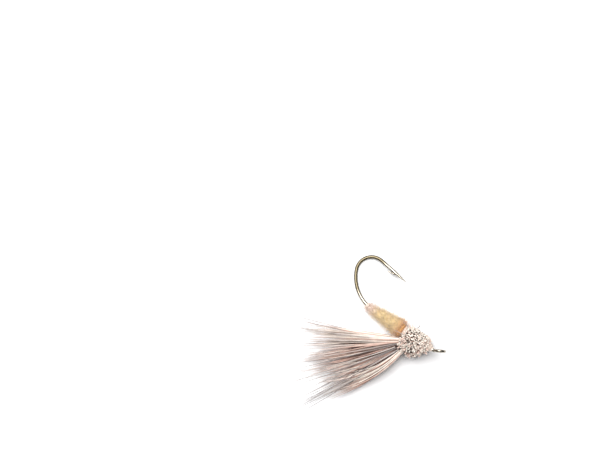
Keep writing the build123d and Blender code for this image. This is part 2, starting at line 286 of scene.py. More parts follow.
def hair_fan_tree():
    """Hairs that leave one root, spread like a fan over the table, and gather into pointed locks."""
    recipe, size, finish = geometry_tree("Hair fan", {
        "Hairs": 60,
        "Points": 16,
        "Apex": (0.0, 0.0, 0.0),
        "Inner Angle": 0.4,
        "Outer Angle": 0.5,
        "Root": 1 * MM,
        "Fill": 5 * MM,
        "Core": 13 * MM,
        "Shortest": 14 * MM,
        "Longest": 19 * MM,
        "Root Centre": 0.0,
        "Core Centre": 0.0,
        "Tip Centre": 0.0,
        "Root Height": 1.5 * MM,
        "Core Height": 3 * MM,
        "Tip Height": 1.5 * MM,
        "Locks": 6,
        "Gather": 0.6,
        "Bow": 0.3 * MM,
        "Stray": 0.5 * MM,
        "Thickness": 0.08 * MM,
        "Tip Share": 0.15,
        "Palest Tone": 0.0,
        "Darkest Tone": 1.0,
        "Seed": 1,
    }, takes_surface=False)
    line = recipe.add("GeometryNodeCurvePrimitiveLine")
    strand = recipe.add("GeometryNodeResampleCurve", {"Curve": line, "Count": size["Points"]})
    roots = recipe.add("GeometryNodePoints", {"Count": size["Hairs"]})
    copies = recipe.add("GeometryNodeInstanceOnPoints", {"Points": roots, "Instance": strand})
    hairs = recipe.add("GeometryNodeRealizeInstances", {"Geometry": copies})
    index = recipe.add("GeometryNodeInputIndex")
    who = recipe.math("FLOOR", recipe.math("DIVIDE", index, size["Points"]))
    along = recipe.add("GeometryNodeSplineParameter")
    seed = size["Seed"]

    def chance(low, high, shift):
        return recipe.random(low, high, seed, shift, who)

    # Each hair has a place across the fan and a place in its depth, and the hairs of a lock share a tip.
    across = chance(0.0, 1.0, 11)
    depth = chance(-1.0, 1.0, 23)
    lock = recipe.math("FLOOR", recipe.times(across, size["Locks"]))
    lock_middle = recipe.math("DIVIDE", recipe.plus(lock, 0.5), size["Locks"])
    pull = recipe.times(recipe.ramp(along, 0.15, 0.85, 0.0, 1.0), size["Gather"])
    gathered = recipe.blend(pull, across, lock_middle)
    lock_depth = recipe.random(-0.8, 0.8, seed, 37, lock)
    layered = recipe.blend(recipe.times(pull, 0.7), depth, lock_depth)

    angle = recipe.blend(gathered, size["Inner Angle"], size["Outer Angle"])
    lock_reach = recipe.random(0.0, 1.0, seed, 41, lock)
    reach_share = recipe.blend(0.45, chance(0.0, 1.0, 53), lock_reach)
    reach = recipe.blend(reach_share, size["Shortest"], size["Longest"])
    distance = recipe.blend(along, size["Root"], reach)

    # The fan's middle height and its half depth, from the root past the full middle to the tips.
    rise = recipe.ramp(distance, size["Root"], size["Core"], size["Root Centre"], size["Core Centre"])
    fall = recipe.ramp(distance, size["Core"], size["Longest"], 0.0,
                       recipe.minus(size["Tip Centre"], size["Core Centre"]))
    centre = recipe.plus(rise, fall)
    swell = recipe.ramp(distance, size["Root"], size["Fill"], size["Root Height"], size["Core Height"])
    shrink = recipe.ramp(distance, size["Core"], size["Longest"], 0.0,
                         recipe.minus(size["Tip Height"], size["Core Height"]))
    half = recipe.times(recipe.plus(swell, shrink), 0.5)
    height = recipe.plus(centre, recipe.times(layered, half))

    # Every hair also bends a little of its own accord, more towards its tip.
    late = recipe.math("POWER", along, 2.0)
    middle = recipe.math("SINE", recipe.times(along, math.pi))
    side_bend = recipe.times(recipe.times(chance(-1.0, 1.0, 67), size["Stray"]), late)
    wave = recipe.math("SINE", recipe.times(along, chance(2.0, 6.0, 71)))
    side_wave = recipe.times(wave, chance(-0.12 * MM, 0.12 * MM, 73))
    bow = recipe.times(middle, size["Bow"])
    sideways = recipe.plus(recipe.plus(side_bend, side_wave), bow)
    lift = recipe.times(recipe.times(chance(-1.0, 1.0, 79), size["Stray"]), late)
    level = recipe.plus(height, recipe.times(lift, 0.6))
    clear = recipe.math("MAXIMUM", level, recipe.plus(size["Table"], size["Thickness"]))

    cosine, sine = recipe.math("COSINE", angle), recipe.math("SINE", angle)
    out = recipe.add("ShaderNodeCombineXYZ", {"X": cosine, "Y": sine})
    side = recipe.add("ShaderNodeCombineXYZ", {"X": recipe.times(sine, -1.0), "Y": cosine})
    up = recipe.add("ShaderNodeCombineXYZ", {"Z": clear})
    place = recipe.total(size["Apex"], recipe.stretch(out, distance), recipe.stretch(side, sideways), up)
    laid = recipe.add("GeometryNodeSetPosition", {"Geometry": hairs, "Position": place})

    toned = recipe.keep(laid, "tone", chance(size["Palest Tone"], size["Darkest Tone"], 83))
    marked = recipe.keep(toned, "reach", distance)
    thickness = recipe.times(size["Thickness"], chance(0.65, 1.2, 89))
    return finish(tapered_fibres(recipe, marked, thickness, size["Tip Share"], 6))


def clipped_hair_tree():
    """Hair butts packed on a surface, flared from where they are lashed and clipped at the surface."""
    recipe, size, finish = geometry_tree("Clipped hair", {
        "Lashing": (0.0, 0.0, 0.0),
        "Flare": 0.6,
        "Spacing": 0.15 * MM,
        "Thickness": 0.08 * MM,
        "Length": 1.2 * MM,
        "Ragged": 0.1 * MM,
        "Tilt": 0.2,
        "Core Depth": 0.5 * MM,
        "Shaggy Way": (0.0, 1.0, 0.0),
        "Shaggy": 0.0,
        "Darkest Tone": 1.0,
        "Seed": 1,
    }, takes_surface=True)
    skin, seed = size["Surface"], size["Seed"]
    shown = recipe.add("GeometryNodeInputNamedAttribute", {"Name": "shown"}, data_type="BOOLEAN")
    feeds = {
        "Mesh": skin,
        "Selection": shown,
        "Distance Min": size["Spacing"],
        "Density Max": 1e9,
        "Seed": seed,
    }
    scatter = recipe.add("GeometryNodeDistributePointsOnFaces", feeds, distribute_method="POISSON").node
    place = recipe.add("GeometryNodeInputPosition")
    flared = recipe.vector("NORMALIZE", recipe.vector("SUBTRACT", place, size["Lashing"]))
    upright = recipe.stretch(scatter.outputs["Normal"], recipe.minus(1.0, size["Flare"]))
    untidy = recipe.stretch(recipe.random_way(seed, 5), size["Tilt"])
    way = recipe.vector("NORMALIZE", recipe.total(recipe.stretch(flared, size["Flare"]), upright, untidy))
    turn = recipe.add("FunctionNodeAlignRotationToVector", {"Vector": way}, axis="Z")
    uneven = recipe.random(-0.6, 1.0, seed, 7)
    slant = recipe.vector("DOT_PRODUCT", way, size["Shaggy Way"]).node.outputs["Value"]
    facing = recipe.math("MAXIMUM", slant, 0.0)
    spare = recipe.random(0.0, 1.0, seed, 23)
    longer = recipe.times(size["Shaggy"], spare)
    clipped = recipe.times(uneven, size["Ragged"])
    step = recipe.stretch(way, recipe.math("MULTIPLY_ADD", facing, longer, clipped))
    ends = recipe.add("GeometryNodeSetPosition", {"Geometry": scatter.outputs["Points"], "Offset": step})

    # One butt: a slightly tapered straw whose cut end is at the origin.
    straw = recipe.add("GeometryNodeMeshCone", {
        "Vertices": 6, "Side Segments": 1, "Radius Top": 1.0, "Radius Bottom": 0.55, "Depth": 1.0,
    }).node
    cut = recipe.keep(straw.outputs["Mesh"], "cut", straw.outputs["Top"], domain="FACE")
    across = recipe.add("ShaderNodeSeparateXYZ", {0: place}, give="Z")
    marked = recipe.keep(cut, "along", across)
    lowered = recipe.add("GeometryNodeTransform", {"Geometry": marked, "Translation": (0, 0, -1)})
    width = recipe.times(size["Thickness"], recipe.random(0.75, 1.25, seed, 13))
    length = recipe.times(size["Length"], recipe.random(0.7, 1.1, seed, 17))
    measure = recipe.add("ShaderNodeCombineXYZ", {"X": width, "Y": width, "Z": length})
    butts = recipe.add("GeometryNodeInstanceOnPoints", {
        "Points": ends, "Instance": lowered, "Rotation": turn, "Scale": measure,
    })
    tone = recipe.random(0.0, size["Darkest Tone"], seed, 19)
    toned = recipe.keep(butts, "tone", tone, domain="INSTANCE")

    # The imported hair below the surface, which its material paints in the painted shade colour.
    depth = recipe.times(size["Core Depth"], -1.0)
    inward = recipe.stretch(recipe.add("GeometryNodeInputNormal"), depth)
    core = recipe.add("GeometryNodeSetPosition", {"Geometry": skin, "Offset": inward})
    joined = recipe.tree.nodes.new("GeometryNodeJoinGeometry")
    recipe.tree.links.new(core, joined.inputs[0])
    recipe.tree.links.new(toned, joined.inputs[0])
    return finish(joined.outputs[0], smooth=False)


def surface_fibre_tree():
    """Fine curved fibres that stand out of a surface and lie back along one direction."""
    recipe, size, finish = geometry_tree("Surface fibres", {
        "Lay": (1.0, 0.0, 0.0),
        "Lay Back": 0.6,
        "Mess": 0.5,
        "Spacing": 0.3 * MM,
        "Shortest": 0.4 * MM,
        "Longest": 1.2 * MM,
        "Bend": 0.4,
        "Thickness": 0.015 * MM,
        "Tip Share": 0.3,
        "Sides": 4,
        "Points": 6,
        "Least Facing Up": -1.0,
        "Seed": 1,
    }, takes_surface=True)
    seed = size["Seed"]
    facing_up = recipe.add("ShaderNodeSeparateXYZ", {0: recipe.add("GeometryNodeInputNormal")}, give="Z")
    bearing = recipe.add("FunctionNodeCompare", {0: facing_up, 1: size["Least Facing Up"]},
                         operation="GREATER_EQUAL")
    feeds = {
        "Mesh": size["Surface"],
        "Selection": bearing,
        "Distance Min": size["Spacing"],
        "Density Max": 1e9,
        "Seed": seed,
    }
    scatter = recipe.add("GeometryNodeDistributePointsOnFaces", feeds, distribute_method="POISSON").node
    untidy = recipe.stretch(recipe.random_way(seed, 5), size["Mess"])
    laid = recipe.stretch(size["Lay"], size["Lay Back"])
    way = recipe.vector("NORMALIZE", recipe.total(scatter.outputs["Normal"], laid, untidy))
    turn = recipe.add("FunctionNodeAlignRotationToVector", {"Vector": way}, axis="Z")
    spin = recipe.add("FunctionNodeAxisAngleToRotation", {
        "Axis": (0, 0, 1), "Angle": recipe.random(0.0, math.tau, seed, 9)})
    turned = recipe.add("FunctionNodeRotateRotation", {"Rotation": turn, "Rotate By": spin},
                        rotation_space="LOCAL")
    tip = recipe.add("ShaderNodeCombineXYZ", {"X": size["Bend"], "Z": 1.0})
    fibre = recipe.add("GeometryNodeCurveQuadraticBezier", {
        "Resolution": size["Points"], "Start": (0, 0, 0), "Middle": (0, 0, 0.5), "End": tip})
    length = recipe.random(size["Shortest"], size["Longest"], seed, 13)
    copies = recipe.add("GeometryNodeInstanceOnPoints", {
        "Points": scatter.outputs["Points"], "Instance": fibre, "Rotation": turned, "Scale": length})
    toned = recipe.keep(copies, "tone", recipe.random(0.0, 1.0, seed, 19),
                        domain="INSTANCE")
    real = recipe.add("GeometryNodeRealizeInstances", {"Geometry": toned})
    return finish(tapered_fibres(recipe, real, size["Thickness"], size["Tip Share"], size["Sides"]))


def wound_thread_tree():
    """Thread wound side by side round a straight core, which may widen from one end to the other."""
    recipe, size, finish = geometry_tree("Wound thread", {
        "Turns": 4.0,
        "Length": 0.4 * MM,
        "Radius Front": 0.5 * MM,
        "Radius Rear": 0.5 * MM,
        "Thread": 0.1 * MM,
        "Place": (0.0, 0.0, 0.0),
        "Way": (1.0, 0.0, 0.0),
    }, takes_surface=False)
    half = recipe.times(size["Thread"], 0.5)
    coil = recipe.add("GeometryNodeCurveSpiral", {
        "Resolution": 32,
        "Rotations": size["Turns"],
        "Start Radius": recipe.minus(size["Radius Front"], recipe.times(half, 0.4)),
        "End Radius": recipe.minus(size["Radius Rear"], recipe.times(half, 0.4)),
        "Height": recipe.minus(size["Length"], size["Thread"]),
    })
    inset = recipe.add("ShaderNodeCombineXYZ", {"Z": half})
    moved = recipe.add("GeometryNodeTransform", {"Geometry": coil, "Translation": inset})
    marked = recipe.keep(moved, "along", recipe.add("GeometryNodeSplineParameter", give="Length"))
    ring = recipe.add("GeometryNodeCurvePrimitiveCircle", {"Resolution": 8, "Radius": 1.0})
    thread = recipe.add("GeometryNodeCurveToMesh", {
        "Curve": marked, "Profile Curve": ring, "Scale": half, "Fill Caps": True})
    core = recipe.add("GeometryNodeMeshCone", {
        "Vertices": 32,
        "Radius Top": recipe.minus(size["Radius Rear"], half),
        "Radius Bottom": recipe.minus(size["Radius Front"], half),
        "Depth": size["Length"],
    })
    joined = recipe.tree.nodes.new("GeometryNodeJoinGeometry")
    recipe.tree.links.new(core, joined.inputs[0])
    recipe.tree.links.new(thread, joined.inputs[0])
    turn = recipe.add("FunctionNodeAlignRotationToVector", {"Vector": size["Way"]}, axis="Z")
    placed = recipe.add("GeometryNodeTransform", {
        "Geometry": joined.outputs[0], "Translation": size["Place"], "Rotation": turn})
    return finish(placed)


TREES = {}


def tree_for(make):
    """The geometry tree of a kind, built the first time it is asked for."""
    if make.__name__ not in TREES:
        TREES[make.__name__] = make()
    return TREES[make.__name__]


def grow(name, make, sizes, material, surface=None):
    """A new piece that a geometry tree makes, as a plain mesh at the origin."""
    mesh = surface or bpy.data.meshes.new(name)
    piece = bpy.data.objects.new(name, mesh)
    bpy.context.scene.collection.objects.link(piece)
    modifier = piece.modifiers.new("Grow", "NODES")
    tree = tree_for(make)
    modifier.node_group = tree
    sockets = {item.name: item.identifier for item in tree.interface.items_tree if item.in_out == "INPUT"}
    for label, value in {**sizes, "Table": TABLE, "Material": material}.items():
        modifier[sockets[label]] = value
    bpy.context.view_layer.update()
    shown = piece.evaluated_get(bpy.context.evaluated_depsgraph_get())
    made = bpy.data.meshes.new_from_object(shown)
    piece.modifiers.clear()
    piece.data = made
    made.name = name
    bpy.data.meshes.remove(mesh)
    if not made.polygons:
        raise RuntimeError(f"{name} came out empty")
    return piece


def settle(piece, slot, *nodes):
    """Hand a finished piece to the frame: it rides on the root, and the nodes that it stands for are hidden.
    The slot is not used.
    """
    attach(piece, "root")
    if nodes:
        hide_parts(*nodes)


# --- Meshes made point by point ---


def new_piece(name, points, faces, material, smooth=True):
    """A mesh object from points in the row's frame."""
    mesh = bpy.data.meshes.new(name)
    mesh.from_pydata([tuple(point) for point in points], [], faces)
    mesh.polygons.foreach_set("use_smooth", [smooth] * len(faces))
    mesh.materials.append(material)
    mesh.update()
    piece = bpy.data.objects.new(name, mesh)
    bpy.context.scene.collection.objects.link(piece)
    return piece


def join(pieces):
    """One object from several, named after the first."""
    with bpy.context.temp_override(active_object=pieces[0], selected_editable_objects=pieces):
        bpy.ops.object.join()
    return pieces[0]


def sections(line):
    """Two square directions at each point of a line, turned as little as the line allows."""
    count = len(line)
    ways = []
    for place in range(count):
        before, after = line[max(place - 1, 0)], line[min(place + 1, count - 1)]
        ways.append((after - before).normalized())
    first = ways[0].orthogonal().normalized()
    pairs = []
    for way in ways:
        first = (first - way * first.dot(way)).normalized()
        pairs.append((first, way.cross(first)))
    return pairs


def tube(line, radii, sides, swell=None):
    """Points and faces of a closed round bar along a line. swell(place, turn) adds to the radius."""
    points, faces = [], []
    for place, (centre, radius, (first, second)) in enumerate(zip(line, radii, sections(line))):
        for side in range(sides):
            turn = math.tau * side / sides
            width = radius + (swell(place, turn) if swell else 0)
            points.append(centre + (first * math.cos(turn) + second * math.sin(turn)) * width)
    for place in range(len(line) - 1):
        for side in range(sides):
            near, far = place * sides, (place + 1) * sides
            after = (side + 1) % sides
            faces.append((near + side, near + after, far + after, far + side))
    last = (len(line) - 1) * sides
    faces.append(tuple(reversed(range(sides))))
    faces.append(tuple(last + side for side in range(sides)))
    return points, faces


def on_wire(hook, distance):
    """A point of the wire's centreline in the fly's frame, at a distance from the start of the bend."""
    if distance <= 0:
        return Vector((hook.shank_length + distance, 0, 0))
    turn = min(distance / hook.rear_radius, hook.rear_sweep)
    point = Vector((
        hook.shank_length + hook.rear_radius * math.sin(turn),
        hook.rear_radius * (math.cos(turn) - 1),
        0,
    ))
    left = distance - hook.rear_radius * hook.rear_sweep
    if left <= 0:
        return point
    centre = point - Vector((math.sin(turn), math.cos(turn), 0)) * hook.front_radius
    further = min(left / hook.front_radius, hook.front_sweep)
    turn += further
    point = centre + Vector((math.sin(turn), math.cos(turn), 0)) * hook.front_radius
    left -= further * hook.front_radius
    return point + Vector((math.cos(turn), -math.sin(turn), 0)) * max(left, 0)


def eye_line(hook):
    """The wire round the eye: from its cut end, round the ring, and off the ring on to the shank."""
    reach = (hook.eye_bore + hook.eye_wire) / 2
    neck = Vector((math.cos(EYE_TURN), math.sin(EYE_TURN), 0))
    middle = FLY.inverted() @ Vector((0, 0, 0))
    side = Vector((0, 0, 1))

    def on_ring(degrees):
        return middle + (neck * math.cos(degrees * DEGREE) + side * math.sin(degrees * DEGREE)) * reach

    cut_end, leaves, step = 24, 304, 7
    ring = [on_ring(degrees) for degrees in range(cut_end, leaves + 1, step)]
    start = ring[-1]
    start_way = (neck * -math.sin(leaves * DEGREE) + side * math.cos(leaves * DEGREE)) * 0.75 * MM
    end = Vector((hook.neck_end, 0, 0))
    end_way = Vector((0.85 * MM, 0, 0))
    neck_steps = 14
    for place in range(1, neck_steps + 1):
        t = place / neck_steps
        ring.append(
            start * (2 * t**3 - 3 * t**2 + 1)
            + start_way * (t**3 - 2 * t**2 + t)
            + end * (3 * t**2 - 2 * t**3)
            + end_way * (t**3 - t**2)
        )
    return ring, neck_steps


def lathe(name, outline, hidden, flat=None, sides=48):
    """A closed mesh turned about the shank from (distance, radius) points, marked where nothing grows on it.

    A value for flat cuts it off at that height on the fly's belly.
    """
    mesh = bpy.data.meshes.new(name)
    points, faces, shown = [FLY @ Vector((outline[0][0], 0, 0))], [], []
    for place, (distance, radius) in enumerate(outline):
        for side in range(sides):
            turn = math.tau * side / sides
            height = radius * math.cos(turn)
            if flat is not None:
                height = max(height, flat)
            points.append(FLY @ Vector((distance, height, radius * math.sin(turn))))
    points.append(FLY @ Vector((outline[-1][0], 0, 0)))
    last = 1 + (len(outline) - 1) * sides
    for side in range(sides):
        after = (side + 1) % sides
        faces.append((0, 1 + after, 1 + side))
        shown.append(False)
        for place in range(len(outline) - 1):
            near, far = 1 + place * sides, 1 + (place + 1) * sides
            faces.append((near + side, near + after, far + after, far + side))
            shown.append(place not in hidden)
        faces.append((last + side, last + after, len(points) - 1))
        shown.append(False)
    mesh.from_pydata([tuple(point) for point in points], [], faces)
    mesh.attributes.new("shown", "BOOLEAN", "FACE").data.foreach_set("value", shown)
    mesh.update()
    return mesh


def head_radius(distance):
    """The clipped head's radius at a distance behind the eye: one arc from the nose to the collar."""
    _, joint, joint_radius = along_shank("head_clump_front")
    _, _, radius = along_shank("collar_butts")
    _, second, second_radius = along_shank("head_clump_rear")
    # The arc's middle lies under the collar's widest place, which two points of the arc give.
    first_drop, second_drop = radius - joint_radius, radius - second_radius
    share = math.sqrt(first_drop / second_drop)
    widest = (share * second - joint) / (share - 1)
    arc = ((widest - joint) ** 2 + first_drop**2) / (2 * first_drop)
    reach = min(abs(widest - distance), arc)
    return radius - arc + math.sqrt(arc**2 - reach**2)


def belly_flat():
    """How far below the shank the head is clipped flat underneath."""
    return min(point.y for point in points_of("collar_butts"))


def clump_outline(front, rear, nose_round, rear_round, steps=10):
    """Outline points of one clump of the head, rounded at a free front or rear, and where nothing grows."""
    inner = 0.3 * MM
    quarter = [math.pi / 2 * step / 5 for step in range(6)]
    points, hidden = [(front, inner)], []
    if nose_round:
        radius = head_radius(front)
        points += [(front + nose_round * (1 - math.cos(turn)),
                    radius - nose_round * (1 - math.sin(turn))) for turn in quarter]
    else:
        hidden.append(0)
        points.append((front, head_radius(front)))
    start, end = front + nose_round, rear - rear_round
    points += [(start + (end - start) * step / steps, head_radius(start + (end - start) * step / steps))
               for step in range(1, steps + 1)]
    if rear_round:
        radius = head_radius(end)
        points += [(end + rear_round * math.sin(turn), radius - rear_round * (1 - math.cos(turn)))
                   for turn in quarter[1:]]
    else:
        hidden.append(len(points) - 1)
    points.append((rear, inner))
    return points, hidden


# --- Finishes ---


def shader_group(name, inputs, outputs):
    """A shader group with named inputs and outputs, as a recipe, its start and the links to its end."""
    tree = bpy.data.node_groups.new(name, "ShaderNodeTree")
    kinds = {"colour": "NodeSocketColor", "number": "NodeSocketFloat", "vector": "NodeSocketVector"}
    for label, (kind, value) in inputs.items():
        socket = tree.interface.new_socket(label, in_out="INPUT", socket_type=kinds[kind])
        if value is not None:
            socket.default_value = value
    for label, kind in outputs.items():
        tree.interface.new_socket(label, in_out="OUTPUT", socket_type=kinds[kind])
    recipe = Recipe(tree)
    start = tree.nodes.new("NodeGroupInput").outputs
    end = tree.nodes.new("NodeGroupOutput").inputs
    return recipe, start, lambda label, value: tree.links.new(value, end[label])


def mix_colour(recipe, share, first, second):
    """A colour between two."""
    return recipe.add("ShaderNodeMix", {0: share, 6: first, 7: second}, give=2, data_type="RGBA")


def mottle_group():
    """Soft patches that lighten and darken a colour, and a fine grain for its height."""
    recipe, start, give = shader_group("Mottle", {
        "Place": ("vector", None),
        "Colour": ("colour", (0.5, 0.5, 0.5, 1)),
        "Patch Size": ("number", 1000.0),
        "Strength": ("number", 0.3),
    }, {"Colour": "colour", "Grain": "number"})
    patches = recipe.add("ShaderNodeTexNoise", {
        "Vector": start["Place"], "Scale": start["Patch Size"], "Detail": 3.0, "Roughness": 0.6})
    grain = recipe.add("ShaderNodeTexNoise", {
        "Vector": start["Place"], "Scale": recipe.times(start["Patch Size"], 6.0), "Detail": 2.0})
    spread = recipe.times(recipe.minus(patches, 0.5), start["Strength"])
    level = recipe.math("MULTIPLY_ADD", spread, 2.0, 1.0)
    give("Colour", recipe.stretch(start["Colour"], level))
    give("Grain", grain)
    return recipe.tree


def hair_group():
    """The colour of one deer hair: pale, brown or dark by its tone, with bands along it and a dark tip."""
    recipe, start, give = shader_group("Deer hair", {
        "Along": ("number", 0.5),
        "Tone": ("number", 0.5),
        "Pale": ("colour", (0.8, 0.7, 0.6, 1)),
        "Brown": ("colour", (0.5, 0.35, 0.28, 1)),
        "Dark": ("colour", (0.1, 0.06, 0.04, 1)),
        "Tip": ("colour", (0.3, 0.25, 0.22, 1)),
        "Pale Share": ("number", 0.4),
        "Dark Share": ("number", 0.1),
        "Band": ("number", 0.35),
    }, {"Colour": "colour"})
    tone = start["Tone"]
    seat = recipe.add("ShaderNodeCombineXYZ", {
        "X": recipe.times(tone, 97.0), "Y": recipe.times(start["Along"], 5.0)})
    bands = recipe.add("ShaderNodeTexNoise", {"Vector": seat, "Scale": 1.0, "Detail": 2.0})
    shifted = recipe.math("MULTIPLY_ADD", recipe.minus(bands, 0.5), start["Band"], tone)
    brown_from = recipe.minus(start["Pale Share"], 0.08)
    brown_to = recipe.plus(start["Pale Share"], 0.08)
    brown = recipe.ramp(shifted, brown_from, brown_to, 0.0, 1.0)
    body = mix_colour(recipe, brown, start["Pale"], start["Brown"])
    dark_from = recipe.minus(1.0, start["Dark Share"])
    dark = recipe.ramp(shifted, dark_from, recipe.plus(dark_from, 0.05), 0.0, 1.0)
    darkened = mix_colour(recipe, dark, body, start["Dark"])
    tip = recipe.ramp(start["Along"], 0.7, 0.95, 0.0, 0.85)
    give("Colour", mix_colour(recipe, tip, darkened, start["Tip"]))
    return recipe.tree


GROUPS = {}


def group_for(make):
    """The shader group of a kind, built the first time it is asked for."""
    if make.__name__ not in GROUPS:
        GROUPS[make.__name__] = make()
    return GROUPS[make.__name__]


class Finish(Recipe):
    """A material under construction, round one Principled shader."""

    def __init__(self, name, **values):
        self.material = bpy.data.materials.new(name)
        self.material.use_nodes = True
        super().__init__(self.material.node_tree)
        self.shader = self.tree.nodes["Principled BSDF"]
        for label, value in values.items():
            self.shader.inputs[label.replace("_", " ")].default_value = value

    def group(self, make, feeds):
        """Place a shared shader group with this finish's own values, and give its node."""
        node = self.tree.nodes.new("ShaderNodeGroup")
        node.node_tree = group_for(make)
        for label, value in feeds.items():
            if isinstance(value, bpy.types.NodeSocket):
                self.tree.links.new(value, node.inputs[label])
            else:
                node.inputs[label].default_value = value
        return node

    def attribute(self, name):
        """A number stored on the mesh."""
        return self.add("ShaderNodeAttribute", give="Fac", attribute_name=name)

    def place(self):
        """The point's place in the row's frame."""
        return self.add("ShaderNodeTexCoord", give="Object")

    def paint(self, label, value):
        """Link a value to an input of the shader."""
        self.tree.links.new(value, self.shader.inputs[label])

    def bump(self, height, strength, depth):
        """Raise the surface by a height."""
        self.paint("Normal", self.add("ShaderNodeBump", {
            "Height": height, "Strength": strength, "Distance": depth}))

    def mottle(self, colour, patch_size, strength):
        """Paint a colour with soft patches, and give the fine grain for a height."""
        mottled = self.group(mottle_group, {
            "Place": self.place(), "Colour": colour, "Patch Size": patch_size, "Strength": strength})
        self.paint("Base Color", mottled.outputs["Colour"])
        return mottled.outputs["Grain"]


def colour4(colour):
    """A colour with full alpha."""
    return (*colour, 1.0)


def wing_hair_finish(name, hair):
    """Deer hair of the wing: satin fibres, each of its own tone."""
    finish = Finish(name, Roughness=0.42, Specular_IOR_Level=0.45)
    strand = finish.group(hair_group, {
        "Along": finish.attribute("along"),
        "Tone": finish.attribute("tone"),
        "Pale": colour4(hair.pale),
        "Brown": colour4(hair.brown),
        "Dark": colour4(hair.dark),
        "Tip": colour4(hair.tip),
        "Pale Share": hair.pale_share,
        "Dark Share": hair.dark_share,
    })
    # The dark underfur shows where the hairs leave the collar.
    near_root = finish.ramp(finish.attribute("reach"), 2.0 * MM, 5.5 * MM, hair.root_dark, 0.0)
    picked = finish.ramp(finish.attribute("tone"), 0.35, 0.8, 0.0, 1.0)
    dark = finish.times(near_root, picked)
    rooted = mix_colour(finish, dark, strand.outputs["Colour"], colour4(hair.dark))
    finish.bump(finish.mottle(rooted, 900.0, 0.35), 0.3, 0.01 * MM)
    return finish.material


def head_hair_finish(name, head):
    """Clipped butts: pale straws, with painted shade down between them, and a pithy cut end."""
    finish = Finish(name, Roughness=0.5, Specular_IOR_Level=0.4)
    along = finish.attribute("along")
    strand = finish.group(hair_group, {
        "Along": 0.4,
        "Tone": finish.attribute("tone"),
        "Pale": colour4(head.pale),
        "Brown": colour4(head.brown),
        "Dark": colour4(head.dark),
        "Pale Share": head.pale_share,
        "Dark Share": head.dark_share,
        "Band": 0.05,
    })
    # Painted shade: the inner ends of the butts, and the core that has no along, take the shade colour.
    painted_shade = finish.ramp(along, 0.25, 0.95, 0.0, 1.0)
    shaded = mix_colour(finish, painted_shade, colour4(head.painted_shade), strand.outputs["Colour"])
    pith = finish.times(finish.attribute("cut"), 0.55)
    ended = mix_colour(finish, pith, shaded, colour4(head.pith))
    finish.bump(finish.mottle(ended, 1500.0, 0.25), 0.4, 0.01 * MM)
    return finish.material


def guard_hair_finish(name, guard):
    """Fine guard hair: grey-brown, paler in bands."""
    finish = Finish(name, Roughness=0.4, Specular_IOR_Level=0.45)
    strand = finish.group(hair_group, {
        "Along": finish.attribute("along"),
        "Tone": finish.attribute("tone"),
        "Pale": colour4(guard.pale),
        "Brown": colour4(guard.dark),
        "Dark": colour4(guard.dark),
        "Tip": colour4(guard.dark),
        "Pale Share": 0.5,
        "Dark Share": 0.2,
    })
    finish.bump(finish.mottle(strand.outputs["Colour"], 900.0, 0.3), 0.3, 0.005 * MM)
    return finish.material


def dubbing_finish(name, body):
    """Dubbing fur: amber, more orange towards the head and pink-cream at the bend."""
    finish = Finish(name, Roughness=0.7, Specular_IOR_Level=0.25, Sheen_Weight=0.3)
    station = finish.attribute("station")
    past_rear = finish.ramp(station, 0.05, 0.35, 0.0, 1.0)
    rear = mix_colour(finish, past_rear, colour4(body.rear), colour4(body.amber))
    full = mix_colour(finish, finish.ramp(station, 0.72, 0.98, 0.0, 1.0), rear, colour4(body.front))
    tone = finish.ramp(finish.attribute("tone"), 0.0, 1.0, 0.8, 1.15)
    toned = finish.stretch(full, tone)
    fine = finish.ramp(finish.attribute("along"), 0.2, 1.0, 0.0, 0.7)
    faded = mix_colour(finish, fine, toned, colour4(body.rear))
    ticked = finish.ramp(finish.attribute("tone"), 0.965, 0.97, 0.0, 0.85)
    furred = mix_colour(finish, ticked, faded, colour4(body.tick))
    finish.bump(finish.mottle(furred, 1400.0, 0.4), 0.8, 0.03 * MM)
    return finish.material


def thread_finish(name, thread):
    """Waxed thread: fine twisted strands along the turns."""
    finish = Finish(name, Roughness=0.38, Specular_IOR_Level=0.5)
    grain = finish.mottle(colour4(thread.colour), 2200.0, 0.35)
    twist = finish.math("SINE", finish.times(finish.attribute("along"), math.tau / thread.twist))
    lines = finish.plus(grain, finish.times(twist, 0.4))
    finish.bump(lines, 0.5, 0.012 * MM)
    return finish.material


def bronze_finish(name, hook):
    """Bronzed steel wire: drawn lines along it, darker blotches in the lacquer, and painted shade over the
    bend.
    """
    finish = Finish(name, Metallic=1.0, Coat_Weight=0.25, Coat_Roughness=0.12)
    patches = finish.add("ShaderNodeTexNoise", {"Vector": finish.place(), "Scale": 700.0, "Detail": 4.0})
    around = finish.add("ShaderNodeUVMap", uv_map="wire")
    travelled = finish.add("ShaderNodeSeparateXYZ", {0: around}, give="X")
    # Painted shade over the bend: it darkens behind the body and lightens again on the spear, in millimetres.
    darkens, dark, fades, pale = 16.8, 19.5, 26.0, 28.5
    bend_shade_rise = finish.ramp(travelled, darkens, dark, 0.0, 1.0)
    painted_bend_shade = finish.times(bend_shade_rise, finish.ramp(travelled, fades, pale, 1.0, 0.0))
    # Random blotches and the painted shade over the bend both take the darker colour.
    blotches_plus_bend_shade = finish.math("MULTIPLY_ADD", finish.minus(patches, 0.5), 1.2, painted_bend_shade)
    blotches_and_painted_shade = finish.ramp(blotches_plus_bend_shade, 0.1, 0.8, 0.0, 1.0)
    finish.paint("Base Color", mix_colour(finish, blotches_and_painted_shade, colour4(hook.bronze), colour4(hook.blotches_and_painted_shade)))
    finish.paint("Roughness", finish.blend(blotches_and_painted_shade, 0.2, 0.34))
    drawn_seat = finish.add("ShaderNodeMapping", {"Vector": around, "Scale": (40.0, 300.0, 1.0)})
    drawn = finish.add("ShaderNodeTexNoise", {"Vector": drawn_seat, "Scale": 1.0, "Detail": 3.0})
    finish.bump(drawn, 0.25, 0.004 * MM)
    return finish.material


